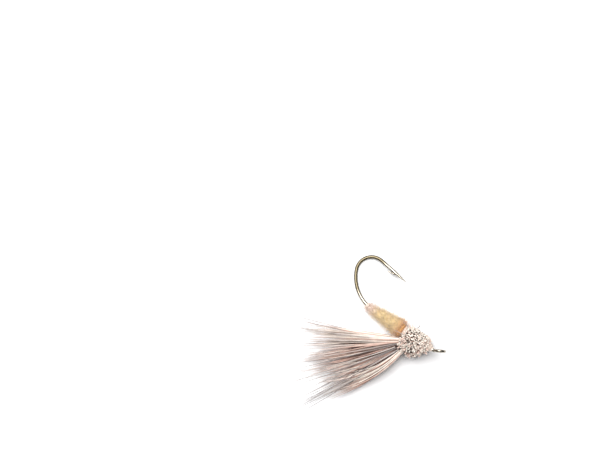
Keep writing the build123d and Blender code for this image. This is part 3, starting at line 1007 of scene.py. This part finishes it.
def lacquer_finish(name, colour):
    """Clear head lacquer, slightly uneven."""
    finish = Finish(name, Roughness=0.06, Alpha=0.28, Coat_Weight=1.0, Coat_Roughness=0.03)
    flow = finish.add("ShaderNodeTexNoise", {"Vector": finish.place(), "Scale": 1500.0, "Detail": 1.0})
    darker = [part * 0.8 for part in colour]
    finish.paint("Base Color", mix_colour(finish, flow, colour4(colour), colour4(darker)))
    finish.bump(flow, 0.3, 0.02 * MM)
    return finish.material


def paper_finish(name, colour):
    """The pale sheet that the fly lies on."""
    finish = Finish(name, Roughness=0.85, Specular_IOR_Level=0.1)
    finish.mottle(colour4(colour), 60.0, 0.01)
    return finish.material


# --- Sizes and colours ---


def linear(part):
    """A display colour's part, 0 to 255, as light."""
    part /= 255
    return part / 12.92 if part <= 0.04045 else ((part + 0.055) / 1.055) ** 2.4


def colour(name, description, *parts):
    """A colour property, whose default is given in display values."""
    default = [linear(part) for part in parts]
    return FloatVectorProperty(
        name=name, description=description, subtype="COLOR", size=3, min=0, max=1, default=default)


def length(name, description, millimetres):
    """A length property."""
    return FloatProperty(
        name=name, description=description, subtype="DISTANCE", unit="LENGTH", precision=5,
        min=0, default=millimetres * MM)


def angle(name, description, degrees):
    """An angle property."""
    return FloatProperty(
        name=name, description=description, subtype="ANGLE", unit="ROTATION", default=degrees * DEGREE)


def share(name, description, value):
    """A share from none to all."""
    return FloatProperty(name=name, description=description, subtype="FACTOR", min=0, max=1, default=value)


def amount(name, description, value):
    """A number with no unit."""
    return FloatProperty(name=name, description=description, min=0, default=value)


def count(name, description, value):
    """A whole number."""
    return IntProperty(name=name, description=description, min=1, default=value)


class HookSizes(PropertyGroup):
    """The hook's wire."""

    wire: length("Wire", "Diameter of the wire", 0.52)
    eye_wire: length("Eye wire", "Diameter of the wire round the eye", 0.44)
    eye_bore: length("Eye bore", "Clear width inside the eye", 1.0)
    neck_end: length("Neck end", "Where the wire is straight again behind the eye", 0.9)
    shank_length: length("Shank", "From the eye to the start of the bend", 11.3)
    rear_radius: length("Bend radius, rear", "Radius of the bend's first part", 5.94)
    rear_sweep: angle("Bend sweep, rear", "Turn of the bend's first part", 67)
    front_radius: length("Bend radius, front", "Radius of the bend's second part", 2.25)
    front_sweep: angle("Bend sweep, front", "Turn of the bend's second part", 121)
    spear: length("Spear", "Straight wire from the bend to the tip", 4.8)
    point: length("Point", "Length that tapers to the tip", 2.1)
    tip: length("Tip", "Diameter of the very tip", 0.05)
    barb_root: length("Barb root", "From the tip to where the barb leaves the wire", 1.95)
    barb_tip: length("Barb tip", "From the hook's tip to the barb's own", 3.2)
    barb_height: length("Barb height", "How far the barb stands off the wire", 0.32)
    barb_root_radius: length("Barb root radius", "Half the barb's thickness at its root", 0.127)
    barb_tip_radius: length("Barb tip radius", "Half the barb's thickness at its tip", 0.012)
    bronze: colour("Bronze", "Colour of the lacquered wire", 164, 156, 142)
    # The darker colour: random blotches in the lacquer, and the painted shade over the bend.
    blotches_and_painted_shade: colour("Aged bronze", "Colour where the lacquer has darkened", 104, 94, 72)


class ThreadSizes(PropertyGroup):
    """The tying thread."""

    thread: length("Thread", "Diameter of the thread", 0.10)
    twist: length("Twist", "Length of one twist of its strands", 0.08)
    colour: colour("Colour", "Colour of the thread", 232, 214, 200)
    tie_in_turns: count("Tie-in turns", "Turns that tie the dubbing in on the bend", 4)
    tie_in_radius: length("Tie-in radius", "Radius of the tie-in turns", 0.46)
    lacquer_depth: length("Lacquer depth", "How far the lacquer thins towards its ends", 0.04)
    lacquer_bore: length("Lacquer bore", "Radius of the wire inside the lacquer", 0.3)
    lacquer: colour("Lacquer", "Colour of the head cement", 236, 226, 214)


class BodySizes(PropertyGroup):
    """The dubbed body."""

    front_radius: length("Front radius", "Radius behind the collar", 1.16)
    rear_radius: length("Rear radius", "Radius at the bend", 0.38)
    rear_on_bend: length("On the bend", "How far the body reaches round the bend", 0.9)
    rope: length("Rope pitch", "Distance from one turn of the dubbing rope to the next", 1.0)
    rope_depth: length("Rope depth", "Depth of the groove between turns", 0.16)
    lump: length("Lumps", "Height of the lumps in the fur", 0.11)
    wire_radius: length("Wire radius", "Radius of the wire and thread inside the body", 0.36)
    fibre: length("Fibre", "Diameter of a fibre", 0.022)
    fibre_spacing: length("Fibre spacing", "Distance between fibres", 0.075)
    fibre_length: length("Fibre length", "Longest fibre that stands out", 0.9)
    amber: colour("Amber", "Colour of the middle", 234, 212, 160)
    front: colour("Orange", "Colour behind the collar", 210, 156, 96)
    rear: colour("Pink cream", "Colour at the bend", 236, 214, 200)
    tick: colour("Tick", "Colour of the few dark fibres", 90, 62, 48)


class WingSizes(PropertyGroup):
    """The wing of deer hair."""

    hairs: count("Hairs", "Hairs in each bunch", 62)
    thickness: length("Thickness", "Radius of a hair", 0.095)
    tip_share: share("Tip", "Width of a tip against the hair's", 0.12)
    shortest: length("Shortest", "From the wing's apex to the nearest tips", 10.5)
    longest: length("Longest", "From the wing's apex to the furthest tips", 18.0)
    locks: count("Locks", "Pointed locks in each bunch", 5)
    gather: share("Gather", "How far hairs draw together in a lock", 0.55)
    stray: length("Stray", "How far a hair's tip strays", 0.7)
    bow: length("Bow", "How far the outer hairs bow", 1.1)
    tip_depth: length("Tip depth", "How much deeper the fan of tips is than the packed bunch", 1.4)
    pale: colour("Pale", "Colour of the palest hairs", 240, 228, 216)
    brown: colour("Brown", "Colour of the brown hairs", 198, 164, 150)
    dark: colour("Dark", "Colour of the dark hairs and the underfur", 84, 56, 46)
    tip: colour("Tip", "Colour of the tips", 214, 204, 200)
    pale_share: share("Pale share", "Share of pale hairs", 0.45)
    dark_share: share("Dark share", "Share of dark hairs", 0.13)
    root_dark: share("Root dark", "How dark the wing is where it leaves the collar", 0.9)


class HeadSizes(PropertyGroup):
    """The clipped head and collar."""

    spacing: length("Spacing", "Distance between butts", 0.215)
    thickness: length("Thickness", "Radius of a butt", 0.112)
    length: length("Length", "Length of a butt that can be seen", 1.2)
    ragged: length("Ragged", "How far the butts end from the clipped surface", 0.3)
    tilt: amount("Tilt", "How untidy the butts are", 0.35)
    flare: share("Flare", "How far the butts point away from their lashing", 0.75)
    shaggy: length("Shaggy back", "How much longer the butts are on the back", 0.75)
    core_depth: length("Core depth", "Depth of the packed hair under the surface", 0.45)
    pale: colour("Pale", "Colour of the palest butts", 246, 238, 228)
    brown: colour("Brown", "Colour of the pinkish butts", 226, 198, 186)
    dark: colour("Dark", "Colour of the dark specks", 40, 26, 22)
    # Painted shade: the colour that stands for the shade down between the butts and on the core.
    painted_shade: colour("Deep", "Colour down between the butts", 132, 102, 90)
    pith: colour("Pith", "Colour of a cut end", 244, 234, 220)
    pale_share: share("Pale share", "Share of pale butts", 0.5)
    dark_share: share("Dark share", "Share of dark butts", 0.2)


class GuardSizes(PropertyGroup):
    """The long guard hairs over the wing, and the short ones that flare out of the collar."""

    hairs: count("Hairs", "Long guard hairs", 34)
    thickness: length("Thickness", "Radius of a guard hair", 0.062)
    shortest: length("Shortest", "From the wing's apex to the nearest tips", 17.0)
    longest: length("Longest", "From the wing's apex to the furthest tips", 21.5)
    locks: count("Locks", "Loose locks in the fan of guard hairs", 17)
    gather: share("Gather", "How far hairs draw together in a lock", 0.3)
    stray: length("Stray", "How far a hair's tip strays", 1.4)
    bow: length("Bow", "How far the hairs bow", 0.2)
    flare_length: length("Flare length", "Longest hair that flares out of the collar", 1.9)
    flare_spacing: length("Flare spacing", "Distance between the flared hairs", 0.75)
    dark: colour("Dark", "Colour of a guard hair", 136, 126, 124)
    pale: colour("Pale", "Colour of a pale guard hair", 196, 186, 180)


class StageSizes(PropertyGroup):
    """The table, the lights and the camera."""

    view_width: length("View width", "Width of table that the camera sees", 88.5)
    turn: angle("Turn", "Turn of the camera about the upright", 213.5)
    middle_x: length("Middle, X", "From the eye to the middle of the view, along X", 25.83)
    middle_y: length("Middle, Y", "From the eye to the middle of the view, against Y", 3.1)
    paper_width: length("Table", "Width of the table", 1200)
    lamp_height: length("Lamp height", "How high the soft lamp hangs", 350)
    lamp_width: length("Lamp width", "Width of the soft lamp", 300)
    lamp_up: length("Lamp, up", "How far the lamp is above the middle of the view", 120)
    lamp_left: length("Lamp, left", "How far the lamp is left of the middle of the view", 60)
    paper: colour("Paper", "Colour of the table", 253, 253, 254)
    sky: amount("Sky", "Strength of the light from all round", 2.8)
    horizon: share("Horizon", "Brightness of the walls against the ceiling", 0.1)
    lamp: amount("Lamp", "Power of the soft lamp in watts", 2.6)


class FlySettings(PropertyGroup):
    """All of the fly's sizes and colours."""

    hook: PointerProperty(type=HookSizes, name="Hook")
    thread: PointerProperty(type=ThreadSizes, name="Thread")
    body: PointerProperty(type=BodySizes, name="Body")
    wing: PointerProperty(type=WingSizes, name="Wing")
    head: PointerProperty(type=HeadSizes, name="Head")
    guard: PointerProperty(type=GuardSizes, name="Guard hairs")
    stage: PointerProperty(type=StageSizes, name="Stage")


# --- The pieces ---


class AddHook(Operator):
    """Make the hook: eye, neck, shank, bend, spear, point and barb in one bronze wire"""

    bl_idname = "dry_fly.add_hook"
    bl_label = "Hook"

    def execute(self, context):
        """Sweep the wire and set the barb on it."""
        hook = context.scene.dry_fly.hook
        line, neck_steps = eye_line(hook)
        radii = [hook.eye_wire / 2] * (len(line) - neck_steps)
        for step in range(1, neck_steps + 1):
            radii.append((hook.eye_wire + (hook.wire - hook.eye_wire) * step / neck_steps) / 2)
        start = hook.neck_end - hook.shank_length
        rear_arc = hook.rear_radius * hook.rear_sweep
        front_arc = hook.front_radius * hook.front_sweep
        end = rear_arc + front_arc + hook.spear
        stations = [start + (0 - start) * step / 24 for step in range(1, 25)]
        stations += [rear_arc * step / 36 for step in range(1, 37)]
        stations += [rear_arc + front_arc * step / 40 for step in range(1, 41)]
        point_start = end - hook.point
        straight = point_start - rear_arc - front_arc
        stations += [rear_arc + front_arc + straight * step / 8 for step in range(1, 9)]
        stations += [point_start + hook.point * step / 16 for step in range(1, 17)]
        for station in stations:
            line.append(on_wire(hook, station))
            taper = max((station - point_start) / hook.point, 0)
            radii.append(hook.wire / 2 + (hook.tip - hook.wire) / 2 * taper**1.15)
        points, faces = tube(line, radii, 32)
        bronze = bronze_finish("bronzed_wire", hook)
        piece = new_piece("hook_wire", [FLY @ point for point in points], faces, bronze)
        wrap_wire(piece.data, line, 32)
        barb = self.barb(hook, end, bronze)
        piece = join([piece, barb])
        own_low, own_high = box_of(piece)
        cad_low, cad_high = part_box("hook")
        error = max(abs(value) for value in (*(own_low - cad_low), *(own_high - cad_high)))
        if error > 0.1 * MM:
            raise RuntimeError(f"the hook's wire is {error / MM:.2f} mm off the packed hook")
        settle(piece, "hook_wire", "hook")
        return {"FINISHED"}

    @staticmethod
    def barb(hook, end, bronze):
        """A sliver cut up from the wire, whose tip points back to the bend."""
        turn = hook.rear_sweep + hook.front_sweep
        way = Vector((math.cos(turn), -math.sin(turn), 0))
        inward = Vector((-math.sin(turn), -math.cos(turn), 0))
        tip = on_wire(hook, end)
        root = tip - way * hook.barb_root
        peak = tip - way * hook.barb_tip + inward * (hook.wire / 2 + hook.barb_height)
        line, radii = [], []
        steps = 12
        for step in range(steps + 1):
            t = step / steps
            lift = inward * (hook.wire * 0.3 * (1 - t) + 0.05 * MM * math.sin(math.pi * t))
            line.append(root + (peak - root) * t + lift)
            thicker = (hook.barb_root_radius - hook.barb_tip_radius) * (1 - t) ** 0.7
            radii.append(hook.barb_tip_radius + thicker)
        points, faces = tube(line, radii, 14)
        piece = new_piece("barb", [FLY @ point for point in points], faces, bronze)
        wrap_wire(piece.data, line, 14)
        return piece


def wrap_wire(mesh, line, sides):
    """Lay a map on a swept bar: along it in millimetres, and round it in turns."""
    travelled = [0.0]
    for before, after in zip(line, line[1:]):
        travelled.append(travelled[-1] + (after - before).length / MM)
    layer = mesh.uv_layers.new(name="wire")
    for face in mesh.polygons:
        corners = [mesh.loops[loop].vertex_index for loop in face.loop_indices]
        last_side = {corner % sides for corner in corners} >= {0, sides - 1}
        for loop, corner in zip(face.loop_indices, corners):
            side = corner % sides
            turn = 1.0 if last_side and side == 0 else side / sides
            layer.data[loop].uv = (travelled[corner // sides], turn)


def box_of(piece):
    """The lowest and the highest corner of a piece."""
    corners = [vertex.co for vertex in piece.data.vertices]
    low = Vector([min(corner[axis] for corner in corners) for axis in range(3)])
    high = Vector([max(corner[axis] for corner in corners) for axis in range(3)])
    return low, high


class AddThread(Operator):
    """Wind the thread: the base layer, the turns that hold each material, and the lacquered head"""

    bl_idname = "dry_fly.add_thread"
    bl_label = "Thread"

    def execute(self, context):
        """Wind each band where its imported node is."""
        settings = context.scene.dry_fly
        sizes = settings.thread
        finish = thread_finish("waxed_thread", sizes)
        base = frame["nodes"]["shank_thread_base"]
        base.data.materials.clear()
        base.data.materials.append(finish)
        for node in ("wing_tie_down_wraps", "lashing_front", "lashing_rear", "thread_head"):
            front, rear, radius = along_shank(node)
            front_radius = self.end_radius(node, front) if node == "thread_head" else radius
            self.wind(node, front, rear, front_radius, radius, FLY @ Vector((front, 0, 0)), sizes, finish)
        hook = settings.hook
        middle = self.middle_on_bend(hook)
        turns_length = sizes.tie_in_turns * sizes.thread
        way = (on_wire(hook, middle + 0.1 * MM) - on_wire(hook, middle - 0.1 * MM)).normalized()
        start = on_wire(hook, middle) - way * turns_length / 2
        radius = sizes.tie_in_radius
        self.wind("rear_tie_in_wraps", 0, turns_length, radius, radius, FLY @ start, sizes, finish,
                  FLY.to_3x3() @ way)
        lacquer = lacquer_finish("head_cement", sizes.lacquer)
        front, rear, radius = along_shank("head_cement")
        front_radius = self.end_radius("head_cement", front)
        inner = sizes.lacquer_bore
        outline = [(front, inner)]
        for step in range(9):
            t = step / 8
            edge = sizes.lacquer_depth * (1 - math.sin(math.pi * t))
            outline.append((front + (rear - front) * t, front_radius + (radius - front_radius) * t - edge))
        outline.append((rear, inner))
        mesh = lathe("lacquer", outline, [])
        mesh.polygons.foreach_set("use_smooth", [True] * len(mesh.polygons))
        mesh.materials.append(lacquer)
        piece = bpy.data.objects.new("lacquer", mesh)
        context.scene.collection.objects.link(piece)
        settle(piece, "lacquer", "head_cement")
        return {"FINISHED"}

    @staticmethod
    def end_radius(node, end):
        """A node's largest radius close to one of its ends."""
        near = [point for point in points_of(node) if abs(point.x - end) < 0.1 * MM]
        return max(math.hypot(point.y, point.z) for point in near)

    @staticmethod
    def middle_on_bend(hook):
        """How far round the bend the tie-in turns lie."""
        points = points_of("rear_tie_in_wraps")
        middle = sum(points, Vector()) / len(points)
        return min((step * 0.05 * MM for step in range(80)),
                   key=lambda distance: (on_wire(hook, distance) - middle).length)

    @staticmethod
    def wind(node, front, rear, front_radius, rear_radius, start, sizes, finish, way=None):
        """One band of turns along the wire."""
        settings = {
            "Turns": (rear - front) / sizes.thread - 1,
            "Length": rear - front,
            "Radius Front": front_radius,
            "Radius Rear": rear_radius,
            "Thread": sizes.thread,
            "Place": start,
            "Way": way or ALONG_SHANK,
        }
        piece = grow(node + "_wound", wound_thread_tree, settings, finish)
        settle(piece, "tying_thread", node)


class AddBody(Operator):
    """Dub the body: a rope of fur wound round the wire, and the fibres that stand out of it"""

    bl_idname = "dry_fly.add_body"
    bl_label = "Body"

    def execute(self, context):
        """Sweep the rope along the wire, then grow fibres on it."""
        settings = context.scene.dry_fly
        sizes, hook = settings.body, settings.hook
        front, _, _ = along_shank("abdomen_dubbing")
        start, end = sizes.rear_on_bend, front - hook.shank_length
        rings, sides = 120, 48
        inner = sizes.wire_radius
        line, radii, places = [], [], []
        for ring in range(rings + 1):
            t = ring / rings
            distance = start + (end - start) * t
            line.append(on_wire(hook, distance))
            carrot = sizes.rear_radius + (sizes.front_radius - sizes.rear_radius) * t**1.1
            rounded = min(t / 0.07, (1 - t) / 0.06, 1)
            radii.append(inner + (carrot - inner) * math.sqrt(max(1 - (1 - rounded) ** 2, 0)))
            places.append(abs(distance - start))

        def swell(ring, turn):
            """The rope's turns, with lumps."""
            phase = places[ring] / sizes.rope * math.tau + turn
            groove = (abs(math.sin(phase / 2)) ** 0.7 - 0.75) * sizes.rope_depth * 1.4
            lump = noise.noise(Vector((places[ring] / MM * 1.6, math.cos(turn) * 1.3, math.sin(turn) * 1.3)))
            fade = min(ring / 8, (rings - ring) / 8, 1)
            return (groove + lump * sizes.lump) * fade

        points, faces = tube(line, radii, sides, swell)
        fur = dubbing_finish("dubbing_fur", sizes)
        piece = new_piece("dubbed_body", [FLY @ point for point in points], faces, fur)
        station = [place / places[-1] for place in places for _ in range(sides)]
        piece.data.attributes.new("station", "FLOAT", "POINT").data.foreach_set("value", station)
        middling = [0.5] * len(station)
        piece.data.attributes.new("tone", "FLOAT", "POINT").data.foreach_set("value", middling)
        fibres = {
            "Lay": ALONG_SHANK,
            "Lay Back": 1.1,
            "Mess": 0.9,
            "Spacing": sizes.fibre_spacing,
            "Shortest": sizes.fibre_length * 0.25,
            "Longest": sizes.fibre_length,
            "Bend": 0.45,
            "Thickness": sizes.fibre / 2,
            "Tip Share": 0.4,
            "Points": 4,
            "Seed": 5,
        }
        fuzz = grow("dubbing_fibres", surface_fibre_tree, fibres, fur, piece.data.copy())
        settle(piece, "body_dubbing", "abdomen_dubbing")
        settle(fuzz, "body_dubbing", "abdomen_dubbing")
        return {"FINISHED"}


class AddWing(Operator):
    """Lay the wing: five bunches of deer hair that fan out behind the collar"""

    bl_idname = "dry_fly.add_wing"
    bl_label = "Wing"

    def execute(self, context):
        """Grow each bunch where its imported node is."""
        sizes = context.scene.dry_fly.wing
        finish = wing_hair_finish("wing_hair", sizes)
        apex = wing_apex()
        # For each bunch: how far it spreads past its inner edge, its share of the bow, and its tones.
        spreads = (2.1, 0.6, 0.6, 0.6, 0.6)
        bows = (0.0, 0.0, 0.25, 0.6, 1.0)
        tones = ((0.0, 0.75), (0.1, 1.0), (0.25, 1.0), (0.1, 1.0), (0.0, 0.92))
        for place, node in enumerate(BUNCHES):
            inner, outer = angles_of(node)
            root_centre, root_height = depth_at(node, WING_ROOT)
            core_centre, core_height = depth_at(node, WING_CORE)
            tip_centre, tip_height = depth_at(node, WING_TIP)
            palest, darkest = tones[place]
            hairs = {
                "Hairs": sizes.hairs,
                "Apex": apex,
                "Inner Angle": inner - spreads[place] * DEGREE,
                "Outer Angle": outer + 0.6 * DEGREE,
                "Root": WING_ROOT - 0.6 * MM,
                "Core": WING_CORE,
                "Shortest": sizes.shortest,
                "Longest": sizes.longest,
                "Root Centre": root_centre,
                "Core Centre": core_centre - 0.15 * MM,
                "Tip Centre": tip_centre,
                "Root Height": root_height * 0.8,
                "Core Height": core_height * 0.85,
                "Tip Height": tip_height + sizes.tip_depth,
                "Locks": sizes.locks,
                "Gather": sizes.gather,
                "Bow": sizes.bow * bows[place],
                "Stray": sizes.stray,
                "Thickness": sizes.thickness,
                "Tip Share": sizes.tip_share,
                "Palest Tone": palest,
                "Darkest Tone": darkest,
                "Seed": 100 + 10 * place,
            }
            settle(grow(node + "_hair", hair_fan_tree, hairs, finish), "wing_hair", node)
        return {"FINISHED"}


class AddHead(Operator):
    """Spin and clip the head: two clumps and the collar, packed with hair butts"""

    bl_idname = "dry_fly.add_head"
    bl_label = "Head"

    def execute(self, context):
        """Grow butts on each clump, away from the turns that hold it."""
        sizes = context.scene.dry_fly.head
        finish = head_hair_finish("clipped_hair", sizes)
        # Each clump's node, its lashing, the rounding of its nose and of its rear, and its darkest tone.
        clumps = [
            ("head_clump_front", "lashing_front", 0.35 * MM, 0, 0.86),
            ("head_clump_rear", "lashing_rear", 0, 0, 1.0),
            ("collar_butts", "lashing_rear", 0, 0.5 * MM, 1.0),
        ]
        for place, (node, lashing, nose_round, rear_round, darkest) in enumerate(clumps):
            front, rear, _ = along_shank(node)
            lashed, _, _ = along_shank(lashing)
            outline, hidden = clump_outline(front, rear, nose_round, rear_round)
            butts = {
                "Lashing": FLY @ Vector((lashed, 0, 0)),
                "Flare": sizes.flare,
                "Spacing": sizes.spacing,
                "Thickness": sizes.thickness,
                "Length": sizes.length,
                "Ragged": sizes.ragged,
                "Tilt": sizes.tilt,
                "Core Depth": sizes.core_depth,
                "Shaggy Way": TO_THE_BACK,
                "Shaggy": sizes.shaggy,
                "Darkest Tone": darkest,
                "Seed": 200 + 10 * place,
            }
            surface = lathe(node + "_surface", outline, hidden, belly_flat())
            settle(grow(node + "_hair", clipped_hair_tree, butts, finish, surface), "head_hair", node)
        return {"FINISHED"}


class AddGuardHairs(Operator):
    """Add the long guard hairs over the wing, and the short ones that flare out of the collar"""

    bl_idname = "dry_fly.add_guard_hairs"
    bl_label = "Guard hairs"

    def execute(self, context):
        """Grow the long hairs as a wide fan, and the short ones on a patch of the collar."""
        sizes = context.scene.dry_fly.guard
        finish = guard_hair_finish("guard_hair", sizes)
        apex = wing_apex()
        inner, _ = angles_of(BUNCHES[0])
        _, outer = angles_of(BUNCHES[-1])
        middle = BUNCHES[len(BUNCHES) // 2]
        centre, height = depth_at(middle, WING_CORE)
        root_centre, root_height = depth_at(middle, WING_ROOT)
        hairs = {
            "Hairs": sizes.hairs,
            "Apex": apex,
            "Inner Angle": inner - 5.5 * DEGREE,
            "Outer Angle": outer + 1 * DEGREE,
            "Root": WING_ROOT - 0.5 * MM,
            "Core": WING_CORE,
            "Shortest": sizes.shortest,
            "Longest": sizes.longest,
            "Root Centre": root_centre,
            "Core Centre": centre,
            "Tip Centre": centre,
            "Root Height": root_height,
            "Core Height": height,
            "Tip Height": height * 0.7,
            "Locks": sizes.locks,
            "Gather": sizes.gather,
            "Bow": sizes.bow,
            "Stray": sizes.stray,
            "Thickness": sizes.thickness,
            "Tip Share": 0.25,
            "Seed": 310,
        }
        long_hairs = grow("guard_hairs_long", hair_fan_tree, hairs, finish)
        settle(long_hairs, "wing_hair", "guard_hairs_wing")
        front, rear, _ = along_shank("collar_butts")
        outline, hidden = clump_outline(front, rear - 0.1 * MM, 0, 0.5 * MM)
        surface = lathe("flare_surface", outline, hidden + [len(outline) - 2], belly_flat())
        flares = {
            "Lay": ALONG_SHANK,
            "Lay Back": 0.1,
            "Mess": 0.3,
            "Spacing": sizes.flare_spacing,
            "Shortest": sizes.flare_length * 0.35,
            "Longest": sizes.flare_length,
            "Bend": 0.2,
            "Thickness": sizes.thickness * 0.6,
            "Tip Share": 0.3,
            "Sides": 6,
            "Points": 10,
            "Least Facing Up": -0.35,
            "Seed": 320,
        }
        short_hairs = grow("guard_hairs_flared", surface_fibre_tree, flares, finish, surface)
        settle(short_hairs, "head_hair", "guard_hairs_collar")
        return {"FINISHED"}


class AddStage(Operator):
    """Set out the table, the lights and the camera"""

    bl_idname = "dry_fly.add_stage"
    bl_label = "Stage"

    def execute(self, context):
        """Lay the paper under the fly, light it softly from above and look straight down."""
        scene = context.scene
        sizes = scene.dry_fly.stage
        half = sizes.paper_width / 2
        corners = [(-half, -half), (half, -half), (half, half), (-half, half)]
        paper = new_piece("table_paper", [(x, y, TABLE) for x, y in corners], [(0, 1, 2, 3)],
                          paper_finish("paper", sizes.paper))
        self.sky(scene, sizes)

        right = Vector((math.cos(sizes.turn), math.sin(sizes.turn), 0))
        up = Vector((-right.y, right.x, 0))
        middle = Vector((sizes.middle_x, -sizes.middle_y, 0))
        lamp = bpy.data.lights.new("soft_lamp", "AREA")
        lamp.shape, lamp.size, lamp.energy = "SQUARE", sizes.lamp_width, sizes.lamp
        lamp_object = bpy.data.objects.new("soft_lamp", lamp)
        aside = up * sizes.lamp_up - right * sizes.lamp_left
        lamp_object.location = middle + aside + Vector((0, 0, sizes.lamp_height))
        lamp_object.rotation_euler = (middle - lamp_object.location).to_track_quat("-Z", "Y").to_euler()
        lamp_object.visible_camera = False
        scene.collection.objects.link(lamp_object)

        camera = bpy.data.cameras.new("camera")
        camera.lens, camera.sensor_width = 100, 36
        distance = sizes.view_width * camera.lens / camera.sensor_width
        camera.clip_start, camera.clip_end = 0.01, 5
        camera_object = bpy.data.objects.new("camera", camera)
        place = Matrix((right, up, Vector((0, 0, 1)))).transposed().to_4x4()
        place.translation = middle + Vector((0, 0, TABLE / 2 + distance))
        camera_object.matrix_world = place
        scene.collection.objects.link(camera_object)
        scene.camera = camera_object
        scene.view_settings.view_transform = "Standard"
        return {"FINISHED"}

    @staticmethod
    def sky(scene, sizes):
        """Light from all round: a bright ceiling, and darker walls that only the wire mirrors."""
        world = bpy.data.worlds.new("studio")
        world.use_nodes = True
        scene.world = world
        recipe = Recipe(world.node_tree)
        background = world.node_tree.nodes["Background"]
        way = recipe.add("ShaderNodeTexCoord", give="Generated")
        height = recipe.add("ShaderNodeSeparateXYZ", {0: way}, give="Z")
        level = recipe.ramp(height, 0.25, 0.85, sizes.horizon, 1.0)
        seen = recipe.add("ShaderNodeLightPath", give="Is Camera Ray")
        shown = recipe.blend(seen, level, 1.0)
        world.node_tree.links.new(recipe.times(shown, sizes.sky), background.inputs["Strength"])


OPERATORS = [AddHook, AddThread, AddBody, AddWing, AddHead, AddGuardHairs, AddStage]


class FlyPanel(Panel):
    """Lists the fly's pieces with their sizes and colours"""

    bl_idname = "VIEW3D_PT_dry_fly"
    bl_label = "Dry fly"
    bl_space_type = "VIEW_3D"
    bl_region_type = "UI"
    bl_category = "Dry fly"

    def draw(self, context):
        """One box for each operator and its sizes."""
        settings = context.scene.dry_fly
        groups = ["hook", "thread", "body", "wing", "head", "guard", "stage"]
        for operator, group in zip(OPERATORS, groups):
            box = self.layout.box()
            box.operator(operator.bl_idname)
            sizes = getattr(settings, group)
            for name in sizes.bl_rna.properties.keys():
                if name not in ("rna_type", "name"):
                    box.prop(sizes, name)


GROUPS_OF_SIZES = [
    HookSizes, ThreadSizes, BodySizes, WingSizes, HeadSizes, GuardSizes, StageSizes, FlySettings,
]
CLASSES = [*GROUPS_OF_SIZES, *OPERATORS, FlyPanel]


def register():
    """Make the settings, the operators and the panel known to Blender."""
    for item in CLASSES:
        bpy.utils.register_class(item)
    bpy.types.Scene.dry_fly = PointerProperty(type=FlySettings)


def unregister():
    """Take them away again."""
    del bpy.types.Scene.dry_fly
    for item in reversed(CLASSES):
        bpy.utils.unregister_class(item)


def main():
    """Build the fly and its stage."""
    register()
    bpy.ops.dry_fly.add_hook()
    bpy.ops.dry_fly.add_thread()
    bpy.ops.dry_fly.add_body()
    bpy.ops.dry_fly.add_wing()
    bpy.ops.dry_fly.add_head()
    bpy.ops.dry_fly.add_guard_hairs()
    bpy.ops.dry_fly.add_stage()


if __name__ == "__main__":
    main()
